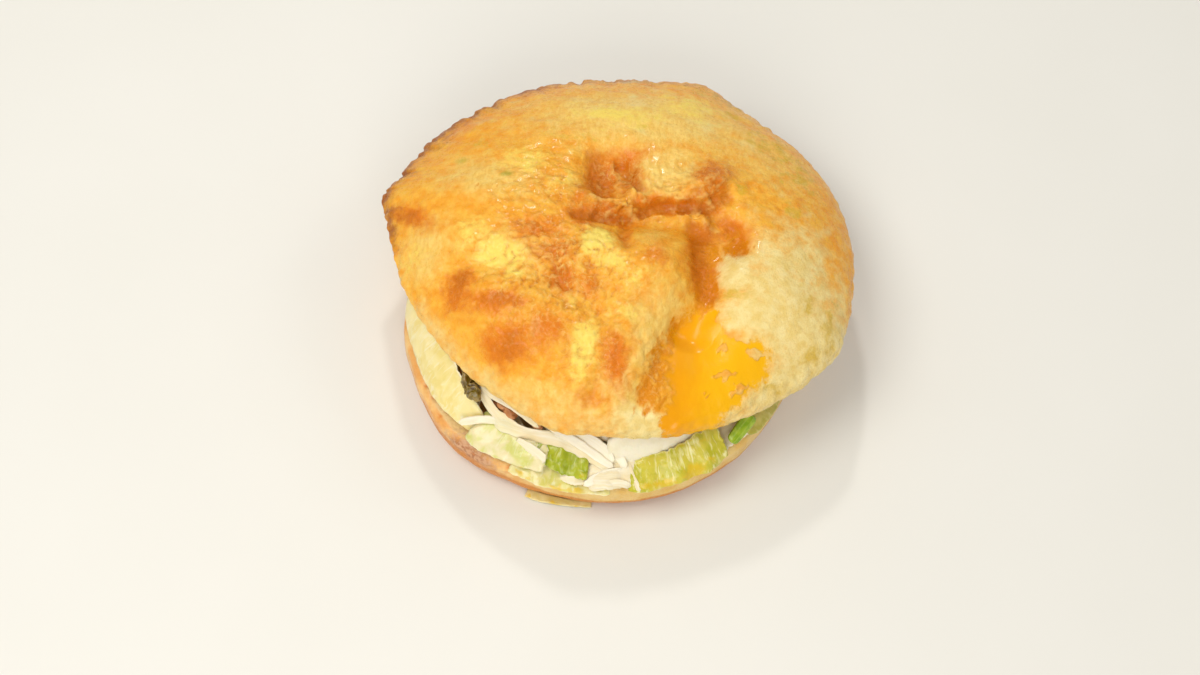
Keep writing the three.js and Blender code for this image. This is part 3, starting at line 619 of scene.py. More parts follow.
def lid_tints(points, share, theta):
    """Named numbers from 0 to 1 that say where the egg is browned, yellow, pale or yolky."""
    flat = points[:, :2]
    x, y = flat.T
    wx = x + 1.7 * layered(flat, 8, 21) + 0.8 * noise(flat, 2.4, 24)
    wy = y + 1.7 * layered(flat, 8, 27) + 0.8 * noise(flat, 2.4, 29)
    mottle = layered(flat, 5, 33, 4)
    streaks = layered(points * (0.3, 1, 0.6), 3.4, 35, 3)
    back = smooth(y, 30, 46)
    front = smooth(-y, 0, 20)
    made = {name: spots(wx, wy, listed) + 0.22 * mottle for name, listed in TINT_SPOTS.items()}
    made["yellow"] += 0.25 * back * streaks
    right = smooth(x + 0.3 * y, 30, 52)
    made["olive"] += 0.35 * back * streaks + right * (0.15 + 0.55 * layered(flat, 3, 34, 3))
    made["cream"] += 0.9 * back * np.clip(layered(flat * (0.45, 1), 5, 37, 3), 0, 1)
    made["cream"] -= 0.35 * right * (1 - front) * (1 + layered(flat, 4, 36, 3))
    made["cream"] += 0.5 * front * smooth(share, 0.9, 0.99)
    made["orange"] -= 0.6 * front * smooth(share, 0.92, 0.99)
    spiky_x = x + 1.6 * noise(flat, 2.6, 41) + 1.2 * noise(flat * (0.3, 1), 1.5, 47)
    yolk = spots(spiky_x, y + 1.3 * noise(flat, 2.2, 42), YOLK_SPOTS)
    flecks = spots(x + noise(flat, 1.6, 43), y + noise(flat, 1.6, 44), FLECK_SPOTS)
    made["yolk"] = yolk - 0.7 * smooth(flecks, 0.2, 0.7)
    made["amber"] += 0.45 * layered(lean_streaks(points), 1.3, 45)
    made["green"] = spots(x + 0.5 * noise(flat, 1.5, 46), y, GREEN_SPOTS)
    burnt = smooth(np.cos(theta - EDGE["burnt"] * DEG), 0.5, 0.95) * smooth(share, 0.9, 0.995)
    toasted = smooth(np.cos(theta - EDGE["toasted"] * DEG), 0.1, 0.9) * smooth(share, 0.8, 0.99)
    made["crust"] = np.maximum(burnt, 0.7 * toasted) + 0.45 * mottle * smooth(share, 0.75, 1) * (1 - front)
    return made


def lean_streaks(points):
    """Coordinates in which noise makes streaks that run down towards the front left."""
    c, s = math.cos(68 * DEG), math.sin(68 * DEG)
    x, y = points[:, 0], points[:, 1]
    return np.stack([0.3 * (x * c + y * s), y * c - x * s], 1)


def lid_detail(points, share, tints):
    """Fine relief of the egg in millimetres, and how far each place stands up or lies deep in it."""
    flat = points[:, :2]
    x, y = flat.T
    rough = np.clip(spots(x, y, ROUGH_SPOTS), 0, 1.8)
    pool = smooth(tints["yolk"], 0.3, 0.8)
    still = 1 - pool
    bent = stirred(points, 1.1, 3.2, 51)
    puffs = 0.45 * billows(bent, 4.8, 54) + 0.55 * billows(bent, 2.5, 55)
    fine = layered(bent, 1.7, 56, 2)
    away, own = nearest_centre(points, 3.6, 57)
    blister = np.sqrt(np.clip(1 - (away / mix(0.2, 0.46, own)) ** 2, 0, 1)) * (own > 0.35)
    lumps = 0.32 * noise(points, 10, 58) + 0.16 * noise(points, 5, 59)
    streaky = 0.22 * layered(points * (0.35, 1, 0.7), 3.6, 60) * smooth(y, 28, 44)
    rim = smooth(share, 0.93, 1) * 0.3 * noise(points, 2.6, 62)
    creased = folds(x, y, FINE_CREASES)
    rolled = folds(x, y, [(route, 0.8 * width, 1) for route, width, _ in ROLLS])
    coarse = rough * (1.15 * (puffs - 0.55) + 0.45 * blister)
    relief = lumps + still * (coarse + mix(0.08, 0.3, rough) * fine)
    relief += streaky + rim - 0.15 * pool - creased * (1 + 0.25 * fine)
    puffed = rough * (0.75 * puffs + 0.3 * blister + 0.3 * fine)
    # How far each place stands up on a puff or a roll. The look paints pale film there: partly the egg's
    # pale film, partly a painted highlight on the crests
    crest = still * np.maximum(puffed, rolled * (0.75 + 0.4 * fine))
    # How deep each place lies in a hollow or a fold. The look browns it there: partly the egg's deeper
    # browning, partly painted shade in the hollows
    trough = still * np.maximum(rough * (1 - 1.1 * puffs), 0.55 * creased - 0.8 * rolled)
    return relief, crest, trough


def egg_base():
    """The egg without its fine relief, how many points show, and all the points' shares and directions."""
    count = 290
    even, theta, quads, rim = disc_grid(count)
    share = mix(even, np.sin(even * math.pi / 2), 0.9)
    reach = outline(theta, LID) - RELIEF_ROOM["egg_rim"] - teeth(theta) * share ** 6
    top = lid_points(theta, share, reach, LID["crown"] - RELIEF_ROOM["egg_crown"], egg_relief)
    loop = theta[rim]
    inner_reach = egg_inner_reach(loop) - teeth(loop)
    drop = mix(EGG["drop"], EGG["brim_drop"], brim_share(loop))
    outer = [skirt_ring(loop, t, reach[rim], drop, EGG["tuck"]) for t in (12, 25, 38, 52, 66, 80)]
    inner = [skirt_ring(loop, t, inner_reach, drop, EGG["tuck"]) for t in (80, 40)]
    under = [lid_points(loop, np.full(len(loop), s), inner_reach, LID["crown"] - EGG["crown"], broad_relief)
             for s in (0.995, 0.97, 0.92, 0.84, 0.72, 0.55, 0.35, 0.15)]
    rings = np.array([top[rim], *outer, *inner, *under])
    first = len(top) - len(rim)
    lower = ring_quads(len(rings), len(rim)) + first
    on_rim = lower < len(top)
    lower[on_rim] = rim[lower[on_rim] - first]
    middle = len(top) + (len(rings) - 1) * len(rim)
    last = middle - len(rim) + np.arange(len(rim))
    fan = np.stack([np.roll(last, -1), last, np.full(len(rim), middle)], 1)
    points = np.concatenate([top, rings[1:].reshape(-1, 3), rings[-1:].mean(1)])
    skin = Skin(points, np.concatenate([quads, lower[:, ::-1]]), fan).face_outwards()
    all_theta = np.concatenate([theta, np.tile(loop, len(rings) - 1), [0]])
    all_share = np.concatenate([share, np.ones(len(points) - len(share))])
    return skin, len(top) + len(outer) * len(rim), all_share, all_theta


def fried_egg():
    skin, shown, share, theta = egg_base()
    points = skin.points
    tints = lid_tints(points, share, theta)
    relief, crest, trough = lid_detail(points, share, tints)
    relief[shown:] = 0
    skin.swell(relief)
    x, y, _ = points.T
    curly = 0.6 * spots(x, y, ROUGH_SPOTS) + 0.35 * smooth(y, 20, 40) + 0.3 * smooth(x, 40, 56)
    skin.fields = {**tints, "crest": crest, "trough": trough, "curly": np.clip(curly, 0, 1)}
    add_piece("egg", skin, egg_look(), "fried_egg")


def egg_look():
    look = Look("egg_skin", 0.34, coat=0.18, coat_roughness=0.14, subsurface=0.05, reach=1.0)
    grain = look.noise(1.7, detail=7, harsh=0.65)
    speck = look.noise(0.9, detail=6, harsh=0.7)
    patch = look.noise(3.2, detail=7, harsh=0.62)
    streak = look.noise(1.2, detail=6, harsh=0.62, at=look.stretched((1, 2.6, 1.4)))
    flake = look.step(look.noise(1.8, detail=5, harsh=0.6, twist=1.4), 0.5, 0.7)
    mottle = look.step(patch, 0.3, 0.7)
    colour = look.mix(mottle, DEEP_GOLD, GOLD)
    pale = look.mix(look.step(streak, 0.38, 0.6), DULL_GOLD, PALE_GOLD)
    creamy = look.mix(mottle, CREAM_DEEP, CREAM)
    stains = (("pale", patch, 0.7, 0.15, 0.85, pale, 1), ("cream", grain, 0.6, 0.15, 0.9, creamy, 0.95),
              ("yellow", grain, 1.3, 0.2, 0.9, YELLOW, 1), ("orange", grain, 0.75, 0.2, 1.0, ORANGE, 1),
              ("brown", grain, 0.9, 0.25, 0.95, BROWN, 1), ("olive", grain, 1.3, 0.4, 0.9, OLIVE, 0.7),
              ("amber", streak, 1.2, 0.3, 0.7, AMBER, 1), ("green", grain, 0.6, 0.3, 0.9, LEAF_GREEN, 0.6))
    for stain in stains:
        colour = look.stain(colour, *stain)
    curls = look.noise(1.5, detail=5, harsh=0.6, twist=1.6)
    bright = look.scaled(look.field("curly"), look.step(curls, 0.52, 0.72, 0.0, 0.6))
    colour = look.mix(bright, colour, CURL_PALE)
    deep = look.scaled(look.field("curly"), look.step(curls, 0.32, 0.46, 0.5, 0.0))
    colour = look.mix(deep, colour, CURL_DEEP)
    # Brown in the troughs and folds: partly deeper browning, partly painted shade in the hollows
    trough = look.step(look.plus(look.field("trough"), look.scaled(speck, 0.7)), 0.55, 1.25)
    colour = look.mix(look.scaled(trough, 0.7), colour, BROWN)
    # Pale film on the crests: partly the egg's own film, partly a painted highlight
    film_and_highlight = look.step(look.plus(look.field("crest"), look.scaled(speck, 0.8)), 0.85, 1.4)
    flaked = look.scaled(flake, look.step(look.field("flake"), 0.1, 0.9))
    colour = look.mix(look.scaled(look.math("MAXIMUM", film_and_highlight, flaked), 0.55), colour, FILM)
    colour = look.stain(colour, "crust", grain, 0.9, 0.25, 1.1, CRUST)
    yolk = look.frayed("yolk", speck, 0.7, 0.36, 0.6)
    runny = look.step(look.plus(look.east(), look.scaled(streak, 8)), 24, 38)
    colour = look.mix(yolk, colour, look.mix(runny, YOLK_DEEP, YOLK))
    skin_roughness = look.step(speck, 0.35, 0.65, 0.24, 0.44)
    roughness = look.mix(yolk, skin_roughness, look.step(grain, 0.3, 0.7, 0.16, 0.22))
    height = look.plus(look.scaled(speck, 0.8), look.scaled(flake, look.scaled(look.field("flake"), 0.2)))
    still = look.math("SUBTRACT", 1.0, look.scaled(yolk, 0.8))
    return look.finish(colour, look.scaled(height, still), 0.5, roughness)


def dough_fields(points, crusted):
    """Where dough is browned and where it has pores, from its points and a first guess of its crust."""
    away, own = nearest_centre(points, 3.4, 81)
    pores = smooth(1 - away / mix(0.12, 0.3, own), 0, 0.6) * (own > 0.62)
    return {"crust": crusted + 0.3 * layered(points, 7, 82, 4), "pore": pores}


def top_bun():
    theta = directions(240)
    reach = dough_reach(theta)
    crown = LID["crown"] - EGG["crown"] - CLEARANCE
    dome = [lid_points(theta, np.full(len(theta), s), reach, crown, broad_relief)
            for s in (0.1, 0.3, 0.5, 0.7, 0.85, 0.94, 0.98, 0.995, 1)]
    drop = mix(DOUGH["front_drop"], DOUGH["drop"], brim_share(theta))
    skirt = [skirt_ring(theta, t, reach, drop, DOUGH["tuck"]) for t in (15, 30, 45, 60, 75, 90)]
    under = []
    for t in (0.96, 0.92, 0.86, 0.8, 0.72, 0.64, 0.5, 0.3, 0.1):
        x, y = place_at(theta, (reach - DOUGH["tuck"]) * t, LID["centre"])
        z = LID["rim"] - drop + lean(x, y) + rim_wave(theta) * t ** 4
        under.append(np.stack([x, y, z - DOUGH["sag"] * smooth(2.6 * (1 - t))], 1))
    rings = np.array([*dome, *skirt, *under])
    skin = shell(rings)
    shown = np.zeros(rings.shape[:2])
    shown[len(dome):] = 1
    crusted = np.zeros(rings.shape[:2])
    crusted[len(dome):len(dome) + len(skirt)] = 0.75
    skin.fields = dough_fields(skin.points, with_ends(crusted))
    bumps = 0.3 * layered(skin.points, 6, 83) - 0.35 * skin.fields["pore"]
    skin.swell(with_ends(shown) * (bumps - 0.15))
    add_piece("top_dough", skin, dough_look("top_dough", False), "top_bun")


def bottom_profile():
    """How far each ring of the bottom bun lies inside its rim, and how high, from the top to the base."""
    radius, thickness, edge, belly = (BUN[name] for name in ("radius", "thickness", "edge", "belly"))
    side = thickness - edge - belly
    tuck = (radius - BUN["foot"]) * BUN["tuck"]
    top = [(mix(radius, edge, t), thickness - BUN["dish"] * (1 - t * t))
           for t in np.linspace(0.05, 0.98, 26)]
    rounded = [(edge * (1 - math.cos(a * DEG)), thickness - edge * (1 - math.sin(a * DEG)))
               for a in np.linspace(78, 0, 8)]
    upright = [(0, thickness - edge - side * t) for t in (0.33, 0.67)]
    foot = [(tuck * (1 - math.cos(a * DEG)), belly * (1 - math.sin(a * DEG)))
            for a in np.linspace(0, 90, 14)]
    base = [(radius * (1 - t), 0) for t in (0.8, 0.6, 0.3, 0.1)]
    return np.array(top + rounded + upright + foot + base).T


def bottom_bun():
    theta = directions(420)
    insets, heights = bottom_profile()
    x, y = place_at(theta, outline(theta, BUN) * (1 - insets[:, None] / BUN["radius"]))
    skin = shell(np.stack([x, y, np.broadcast_to(heights[:, None], x.shape)], -1))
    points = skin.points
    x, y, z = points.T
    towards = np.arctan2(y, x)
    around = towards / DEG % 360
    out = np.hypot(x, y) - outline(towards, BUN)
    side = smooth(out, -5.5, -1.5) * smooth(z, 0.2, 2.2)
    left = smooth(np.cos((around - BAKED["buttery"]) * DEG), 0.3, 0.9)
    front = smooth(np.cos((around - BAKED["browned"]) * DEG), 0.2, 0.85)
    torn = hump(around, z, TEAR) * smooth(out, -6, -3)
    browned = mix(0.6, 1.1, front) * smooth(BAKED["band"] - z, 0, 2.2) + hump(around, z, SCORCH) * side
    crumb = smooth(z, 10.4, 11.8) * smooth(-out, 0.8, 3)
    skin.fields = dough_fields(points, browned)
    skin.fields.update(torn=torn, crumb=crumb, left=left, front=front)
    skin.fields["pore"] *= side * mix(0.2, 1, left)
    bumps = 0.35 * layered(points, 8, 84, 4) + 0.7 * torn * layered(points, 1.7, 85)
    bumps -= 0.5 * skin.fields["pore"]
    crumbs = 0.3 * layered(points, 2, 86, 4) * crumb
    skin.swell(np.where(z < 0.01, 0, bumps * np.maximum(side, 0.3) + crumbs - 0.15))
    skin.points[:, 2] = np.maximum(skin.points[:, 2], 0)
    add_piece("bottom_dough", skin, dough_look("bottom_dough", True), "bottom_bun")


def dough_look(name, bottom):
    look = Look(name, 0.42, coat=0.2, coat_roughness=0.2, subsurface=0.15, reach=1.5)
    grain = look.noise(1.2, detail=5)
    patch = look.step(look.noise(6, detail=4), 0.35, 0.65)
    colour = look.mix(patch, DOUGH_WARM, DOUGH_PALE)
    if bottom:
        left = look.field("left")
        buttery = look.mix(patch, (228, 184, 98), (236, 202, 128))
        colour = look.mix(look.math("SUBTRACT", 1.0, left), colour, buttery)
        band = look.mix(left, (236, 204, 136), (236, 198, 152))
        band = look.mix(look.scaled(look.field("front"), 0.7), band, (230, 196, 116))
        colour = look.stain(colour, "crumb", grain, 0.7, 0.2, 0.8, band, 0.9)
        torn = look.mix(look.step(grain, 0.4, 0.6), (178, 118, 76), (212, 164, 124))
        colour = look.stain(colour, "torn", grain, 0.9, 0.3, 0.8, torn)
    colour = look.stain(colour, "crust", grain, 0.5, 0.3, 1.05, DOUGH_BROWN, 0.9)
    colour = look.mix(look.scaled(look.field("pore"), 0.8), colour, DOUGH_PORE)
    height = look.plus(look.noise(0.8, detail=4), look.scaled(look.noise(3, detail=3), 0.8))
    return look.finish(colour, height, 0.3, look.step(grain, 0.3, 0.7, 0.3, 0.52))


# The filling

# Crumbs of meat at the patty's edge that show between the shreds: place, half-sizes and turn
MEAT_BITS = (((-23.8, -38.8, 21.9), (4.6, 2, 1.6), -36), ((-15.4, -42.4, 21.6), (3, 1.5, 1.3), -24),
             ((-30, -33.6, 21.6), (3, 1.8, 1.4), -50))


def slab_skin(shape, bottom, top, count, inset):
    """A thin round slab that leans with the lid."""
    theta = directions(count)
    rim = outline(theta, shape) - inset
    sides = [(t, 1) for t in np.linspace(0.1, 0.92, 16)]
    sides += [(1 - 0.05 * (1 - math.cos(a * DEG)), math.sin(a * DEG)) for a in np.linspace(70, -70, 11)]
    sides += [(t, -1) for t in np.linspace(0.92, 0.1, 12)]
    rings = []
    for share, side in sides:
        x, y = place_at(theta, rim * share, shape["centre"])
        rings.append(np.stack([x, y, (top + bottom) / 2 + lean(x, y) + (top - bottom) / 2 * side], 1))
    return shell(np.array(rings))


def lump_skin(place, sizes, turn, rows=24, count=36):
    """A smooth lump about a place, with half-sizes along its own axes and a turn about Z."""
    down = np.linspace(0, math.pi, rows + 2)[1:-1, None]
    x, y = place_at(directions(count), np.sin(down))
    x, y, z = x * sizes[0], y * sizes[1], np.broadcast_to(np.cos(down) * sizes[2], x.shape)
    c, s = math.cos(turn * DEG), math.sin(turn * DEG)
    return shell(np.stack([x * c - y * s, x * s + y * c, z], -1) + place)


def meat_patty():
    slab = slab_skin(PATTY, PATTY["bottom"], PATTY["top"], 360, RELIEF_ROOM["patty_rim"])
    skin = joined([slab, *[lump_skin(*bit) for bit in MEAT_BITS]])
    points = skin.points
    away, own = nearest_centre(points, 3.2, 91)
    crumbs = np.sqrt(np.clip(1 - (away / mix(0.5, 0.75, own)) ** 2, 0, 1))
    skin.fields["crumb"] = crumbs
    skin.fields["dark"] = 0.5 + 0.8 * layered(points, 5, 92)
    skin.swell(0.8 * crumbs - 0.7 + 0.25 * noise(points, 1.3, 93))
    add_piece("meat", skin, meat_look(), "meat_patty")


def meat_look():
    look = Look("meat", 0.42, coat=0.35, coat_roughness=0.2, subsurface=0.08, reach=1.0)
    grain = look.noise(1.1, detail=5)
    colour = look.mix(look.frayed("dark", grain, 0.5, 0.2, 0.8), (202, 140, 88), (172, 108, 58))
    # Darker brown between the crumbs: painted shade in the gaps between them
    colour = look.mix(look.step(look.field("crumb"), 0.1, 0.5, 0.3, 1.0), (144, 88, 44), colour)
    fat = look.step(look.noise(2.6, detail=3), 0.6, 0.7)
    colour = look.mix(look.scaled(fat, 0.4), colour, (216, 164, 118))
    return look.finish(colour, look.noise(0.7, detail=4), 0.3, look.step(grain, 0.3, 0.7, 0.3, 0.55))


def curve_through(route, count):
    """Evenly spaced points on a smooth curve through the route's points, and its directions there."""
    knots = np.array(route, float)
    before = np.concatenate([[2 * knots[0] - knots[1]], knots, [2 * knots[-1] - knots[-2]]])
    dense = []
    for k in range(len(knots) - 1):
        a, b, c, d = before[k:k + 4]
        t = np.linspace(0, 1, 40, endpoint=k == len(knots) - 2)[:, None]
        dense.append(0.5 * (2 * b + (c - a) * t + (2 * a - 5 * b + 4 * c - d) * t ** 2
                            + (3 * b - a - 3 * c + d) * t ** 3))
    dense = np.concatenate(dense)
    lengths = np.concatenate([[0], np.cumsum(np.linalg.norm(np.diff(dense, axis=0), axis=1))])
    even = np.linspace(0, lengths[-1], count)
    points = np.stack([np.interp(even, lengths, dense[:, k]) for k in range(3)], 1)
    along = np.gradient(points, axis=0)
    return points, along / np.linalg.norm(along, axis=1, keepdims=True), lengths[-1]


def shred_skin(route, width, thick, seed, around=14):
    """A strip of cabbage: flat, with rounded edges that waver, and torn tips."""
    length = curve_through(route, 8)[2]
    count = max(12, int(length / 0.8))
    points, along, _ = curve_through(route, count)
    t = np.linspace(0, 1, count)
    facing = points * (1, 1, 0) + (0, 0, 45)
    facing /= np.linalg.norm(facing, axis=1, keepdims=True)
    side = np.cross(along, facing)
    side /= np.linalg.norm(side, axis=1, keepdims=True)
    out = np.cross(side, along)
    place = np.stack([t * length, np.full(count, seed * 9.7)], 1)
    tip = np.sqrt(np.clip(1 - np.abs(2 * t - 1) ** 22, 0.02, 1))
    wide = width / 2 * mix(0.78, 1, np.sin(math.pi * t) ** 0.6) * (1 + 0.24 * layered(place, 3.6, 5)) * tip
    high = thick / 2 * (1 + 0.2 * noise(place, 4, 6)) * tip ** 0.5
    twist = 0.55 * noise(place, 9, 7)
    angles = directions(around)
    u = np.sign(np.cos(angles)) * np.abs(np.cos(angles)) ** 0.85
    v = np.sign(np.sin(angles)) * np.abs(np.sin(angles)) ** 1.3
    cup = 0.12 * width * (u * u - 0.4)
    a = wide[:, None] * u
    b = high[:, None] * v + cup * tip[:, None]
    c, s = np.cos(twist)[:, None], np.sin(twist)[:, None]
    rings = (points[:, None] + (a * c - b * s)[..., None] * side[:, None]
             + (a * s + b * c)[..., None] * out[:, None])
    skin = shell(rings)
    grid = np.broadcast_to(u, (count, around))
    skin.fields["across"] = with_ends(grid * width)
    skin.fields["along"] = with_ends(np.repeat((t * length)[:, None], around, 1))
    skin.fields["tone"] = np.full(len(skin.points), draws(np.array([[seed]]), 8)[0])
    skin.swell(0.12 * layered(skin.points, 1.8, 9) + 0.05 * np.cos(9 * skin.fields["across"] / 3))
    return skin


# Shreds that show at the open front, as routes from the heap out over the edge
FRONT_SHREDS = (
    (((-33.4, -30, 23.6), (-31.4, -34.2, 24.2), (-29.4, -37, 23), (-27.4, -39.4, 22), (-24.8, -41.4, 21.2),
      (-21.6, -43, 20.6), (-17.9, -44.2, 20), (-12.5, -45, 19)), 3.1, 0.8),
    (((-33, -31, 24.6), (-31.4, -34, 25.2), (-29, -36.2, 25.5), (-26.8, -37.6, 25.5), (-23.7, -39, 25.5),
      (-20.5, -40.7, 25.4), (-17.3, -43, 25), (-14.4, -44.8, 24.2)), 1.8, 0.7),
    (((-18, -39, 24.6), (-16, -41, 25), (-12.8, -42.8, 24.2), (-9.4, -44.6, 23.2), (-5.1, -46.5, 22.2),
      (-0.9, -48.4, 21), (3.1, -50.3, 19.4), (6.6, -51.5, 17.6)), 2.6, 0.9),
    (((-36.4, -42.6, 18.4), (-33.3, -42.1, 19.1), (-30.4, -41.6, 19.5), (-27.1, -41.6, 19.8),
      (-23.2, -42.5, 20), (-18.9, -43.8, 19.6), (-14, -44, 18)), 2.5, 1.1),
    (((-27, -41.6, 19), (-24.6, -42.9, 19.7), (-20, -44.2, 19.9), (-14.5, -45.2, 20), (-9, -46, 20.1),
      (-3.6, -47.8, 19.8), (0.7, -49.9, 18.9), (5, -51.6, 17.4)), 3.8, 1.1),
    (((-13, -41, 21), (-8.6, -44, 22.2), (-4.1, -45.6, 22.6), (0.3, -47, 22), (3.7, -48.8, 20.4),
      (5.9, -51, 18.2)), 4.6, 0.9),
    (((-20.4, -46.6, 17.6), (-17.4, -48.2, 18.2), (-14.6, -49.8, 18.1), (-12, -51.6, 17.4)), 4.2, 0.6),
    (((-6, -40, 22), (0, -43.4, 22.8), (5, -44.6, 22.4), (9, -46, 21)), 4, 0.7),
    (((-0.9, -56.4, 14.6), (2.5, -54.2, 15.8), (5.6, -52.6, 16.3), (9.4, -51.5, 16.4)), 2.4, 0.8),
    (((0.6, -56.8, 14), (4.6, -55.9, 14.8), (8.3, -54.9, 15.2), (12, -55.2, 14.2)), 2.3, 0.7),
    (((9.8, -49, 17.6), (11, -51, 16.8), (12.2, -53, 15.6), (13.5, -54.9, 14.7), (14.5, -56.4, 13.4)),
     1.6, 0.6),
    (((0, -44, 18), (5, -47.4, 19.6), (8, -49, 19), (10, -51.2, 17)), 2.8, 0.8),
)
# Cells of the fibres' noise in a millimetre across a shred
FIBRES_PER_MM = 1.1
# Short bits behind the leaves and strips round the sides: how many, their draws' seed, and where they lie
FRONT_BITS = {"count": 34, "seed": 5, "from": 230, "through": 86, "nearest": 42, "farthest": 51.5}
SIDE_SHREDS = {"count": 84, "seed": 11, "from": 318, "through": 268}


def side_shreds():
    """Short strips round the sides and back, between the buns."""
    draw = np.random.default_rng(SIDE_SHREDS["seed"])
    made = []
    for k in range(SIDE_SHREDS["count"]):
        start = SIDE_SHREDS["from"] + SIDE_SHREDS["through"] * (k + draw.random()) / SIDE_SHREDS["count"]
        turn = draw.choice((-1, 1)) * draw.uniform(6, 15)
        lift = draw.uniform(-0.6, 2.6)
        end = draw.uniform(44, 50.5)
        stations = ((0, 34, 14), (0.3, 41, 14.9 + lift), (0.7, 44.5, 15.3 + lift),
                    (1, end, 14.9 + 0.4 * lift))
        route = [(*place_at((start + share * turn) * DEG, reach), z) for share, reach, z in stations]
        made.append(shred_skin(route, draw.uniform(1.8, 3.4), draw.uniform(0.8, 1.3), k + 20, around=10))
    return made


def front_bits():
    """Short bits of shred behind and under the leaves at the open front."""
    draw = np.random.default_rng(FRONT_BITS["seed"])
    near, far = FRONT_BITS["nearest"], FRONT_BITS["farthest"]
    made = []
    for k in range(FRONT_BITS["count"]):
        start = FRONT_BITS["from"] + FRONT_BITS["through"] * (k + draw.random()) / FRONT_BITS["count"]
        reach = draw.uniform(near, far)
        z = mix(18, 14.2, smooth(reach, near, far)) + draw.uniform(-0.3, 0.4)
        middle = np.array((*place_at(start * DEG, reach), z))
        turn = draw.uniform(0, math.pi)
        step = np.array((math.cos(turn), math.sin(turn), draw.uniform(-0.25, 0.25))) * draw.uniform(2.2, 4)
        bend = np.array((-step[1], step[0], 0.6)) * draw.uniform(-0.25, 0.25)
        route = (middle - step, middle + bend, middle + step)
        made.append(shred_skin(route, draw.uniform(2, 3.6), draw.uniform(0.6, 0.9), k + 200, around=10))
    return made


def front_flaps():
    made = []
    for k, flap in enumerate(FLAPS):
        skin = leaf_skin(flap, 30, 18, 300 + 5 * k, ragged=0.1, crinkle=0.12)
        along = skin.fields["along"]
        tone = np.full(len(along), 0.75 + 0.1 * k)
        skin.fields = {"across": 9 * skin.fields["v"], "along": along, "tone": tone}
        made.append(skin)
    return made


def shredded_cabbage():
    front = [shred_skin(*shred, seed) for seed, shred in enumerate(FRONT_SHREDS)]
    top = SALAD["top"] - RELIEF_ROOM["salad_top"]
    core = slab_skin(SALAD, SALAD["bottom"], top, 240, RELIEF_ROOM["salad_rim"])
    core.points[:, 2] = np.maximum(core.points[:, 2], SALAD["bottom"])
    x, y, _ = core.points.T
    core.fields = {"across": x, "along": y, "tone": np.full(len(x), 0.9)}
    core.swell(0.9 * ridges(core.points * (1, 0.4, 1), 3, 14) - 0.7)
    shreds = joined([*front, *front_flaps(), *front_bits(), *side_shreds(), core])
    add_piece("cabbage", shreds, shred_look(), "shredded_cabbage")


def shred_look():
    look = Look("cabbage_shreds", 0.34, coat=0.2, coat_roughness=0.15, subsurface=0.1, reach=1.2)
    place = look.combined(look.field("across"), look.scaled(look.field("along"), 0.1),
                          look.scaled(look.field("tone"), 40))
    fibres = look.node("TexNoise", {"Vector": place, "Scale": FIBRES_PER_MM})[0]
    colour = look.mix(look.step(look.field("tone"), 0.2, 0.95), (246, 234, 203), (236, 217, 170))
    colour = look.mix(look.scaled(look.step(fibres, 0.35, 0.75), 0.5), colour, (250, 244, 228))
    patch = look.step(look.noise(8, detail=3), 0.54, 0.75)
    colour = look.mix(look.scaled(patch, 0.3), colour, (230, 228, 172))
    height = look.plus(fibres, look.scaled(look.noise(0.9, detail=3), 0.4))
    return look.finish(colour, height, 0.08)


class Leaf(NamedTuple):
    """A thin sheet that lies or stands round the bun's axis, from a near end to a far end."""

    span: tuple             # directions of the near end and the far end
    reach: tuple            # distances of the outer and the inner edge from the axis
    low: tuple              # heights of the outer edge at both ends
    high: tuple             # heights of the inner edge at both ends
    bulge: float
    ruffle: float
    waves: float
    thick: float
    far_reach: tuple = ()   # distances at the far end, where they differ
    bend: float = 1         # how late the far end's numbers are reached


LEAVES = {
    "leaf_left": Leaf((183, 235), (55.6, 47.4), (13.2, 13.4), (26.2, 18.4), 1.2, 0.3, 1.5, 0.8,
                      far_reach=(54, 49.2), bend=4),
    "leaf_pale_front": Leaf((232, 257.5), (57.6, 46.4), (14.2, 14.8), (18.9, 18.9), 1.6, 0.4, 1.2, 0.9,
                            far_reach=(55.4, 47.6)),
    "leaf_green_front": Leaf((250, 270.5), (52.4, 45.6), (15.4, 15.2), (19.4, 19), 1, 0.6, 2.6, 0.7,
                             far_reach=(56, 47)),
    "leaf_low_front": Leaf((247, 277), (58.1, 50), (12.1, 12), (14.6, 14.6), 0.6, 0.4, 3, 0.6),
    "cabbage_rib": Leaf((275, 307), (51.6, 45.4), (15.6, 15.6), (24.8, 24.8), 0.8, 0.05, 0.6, 1.4,
                        far_reach=(49.4, 45.4), bend=0.5),
    "leaf_right": Leaf((280.5, 312), (58.3, 49.8), (12.7, 12.9), (17, 22.8), 1.3, 0.4, 3.4, 0.7),
    "leaf_olive_right": Leaf((319.5, 338), (57.6, 50), (13.2, 13.2), (18, 18), 0.9, 0.3, 1, 0.7),
    "leaf_right_side": Leaf((345, 385), (56.4, 46.5), (13.6, 13.6), (17, 17), 1.2, 0.6, 2.4, 0.7),
    "leaf_back_right": Leaf((35, 72), (55.2, 45.8), (13.6, 13.6), (16.4, 16.4), 1, 0.6, 2.1, 0.8),
    "leaf_back": Leaf((80, 116), (56, 46), (13.6, 13.6), (17, 17), 1, 0.6, 2.6, 0.7),
    "leaf_back_left": Leaf((124, 170), (55.5, 47.4), (13.7, 13.7), (18.5, 18.5), 1.2, 0.7, 2.8, 0.8),
}
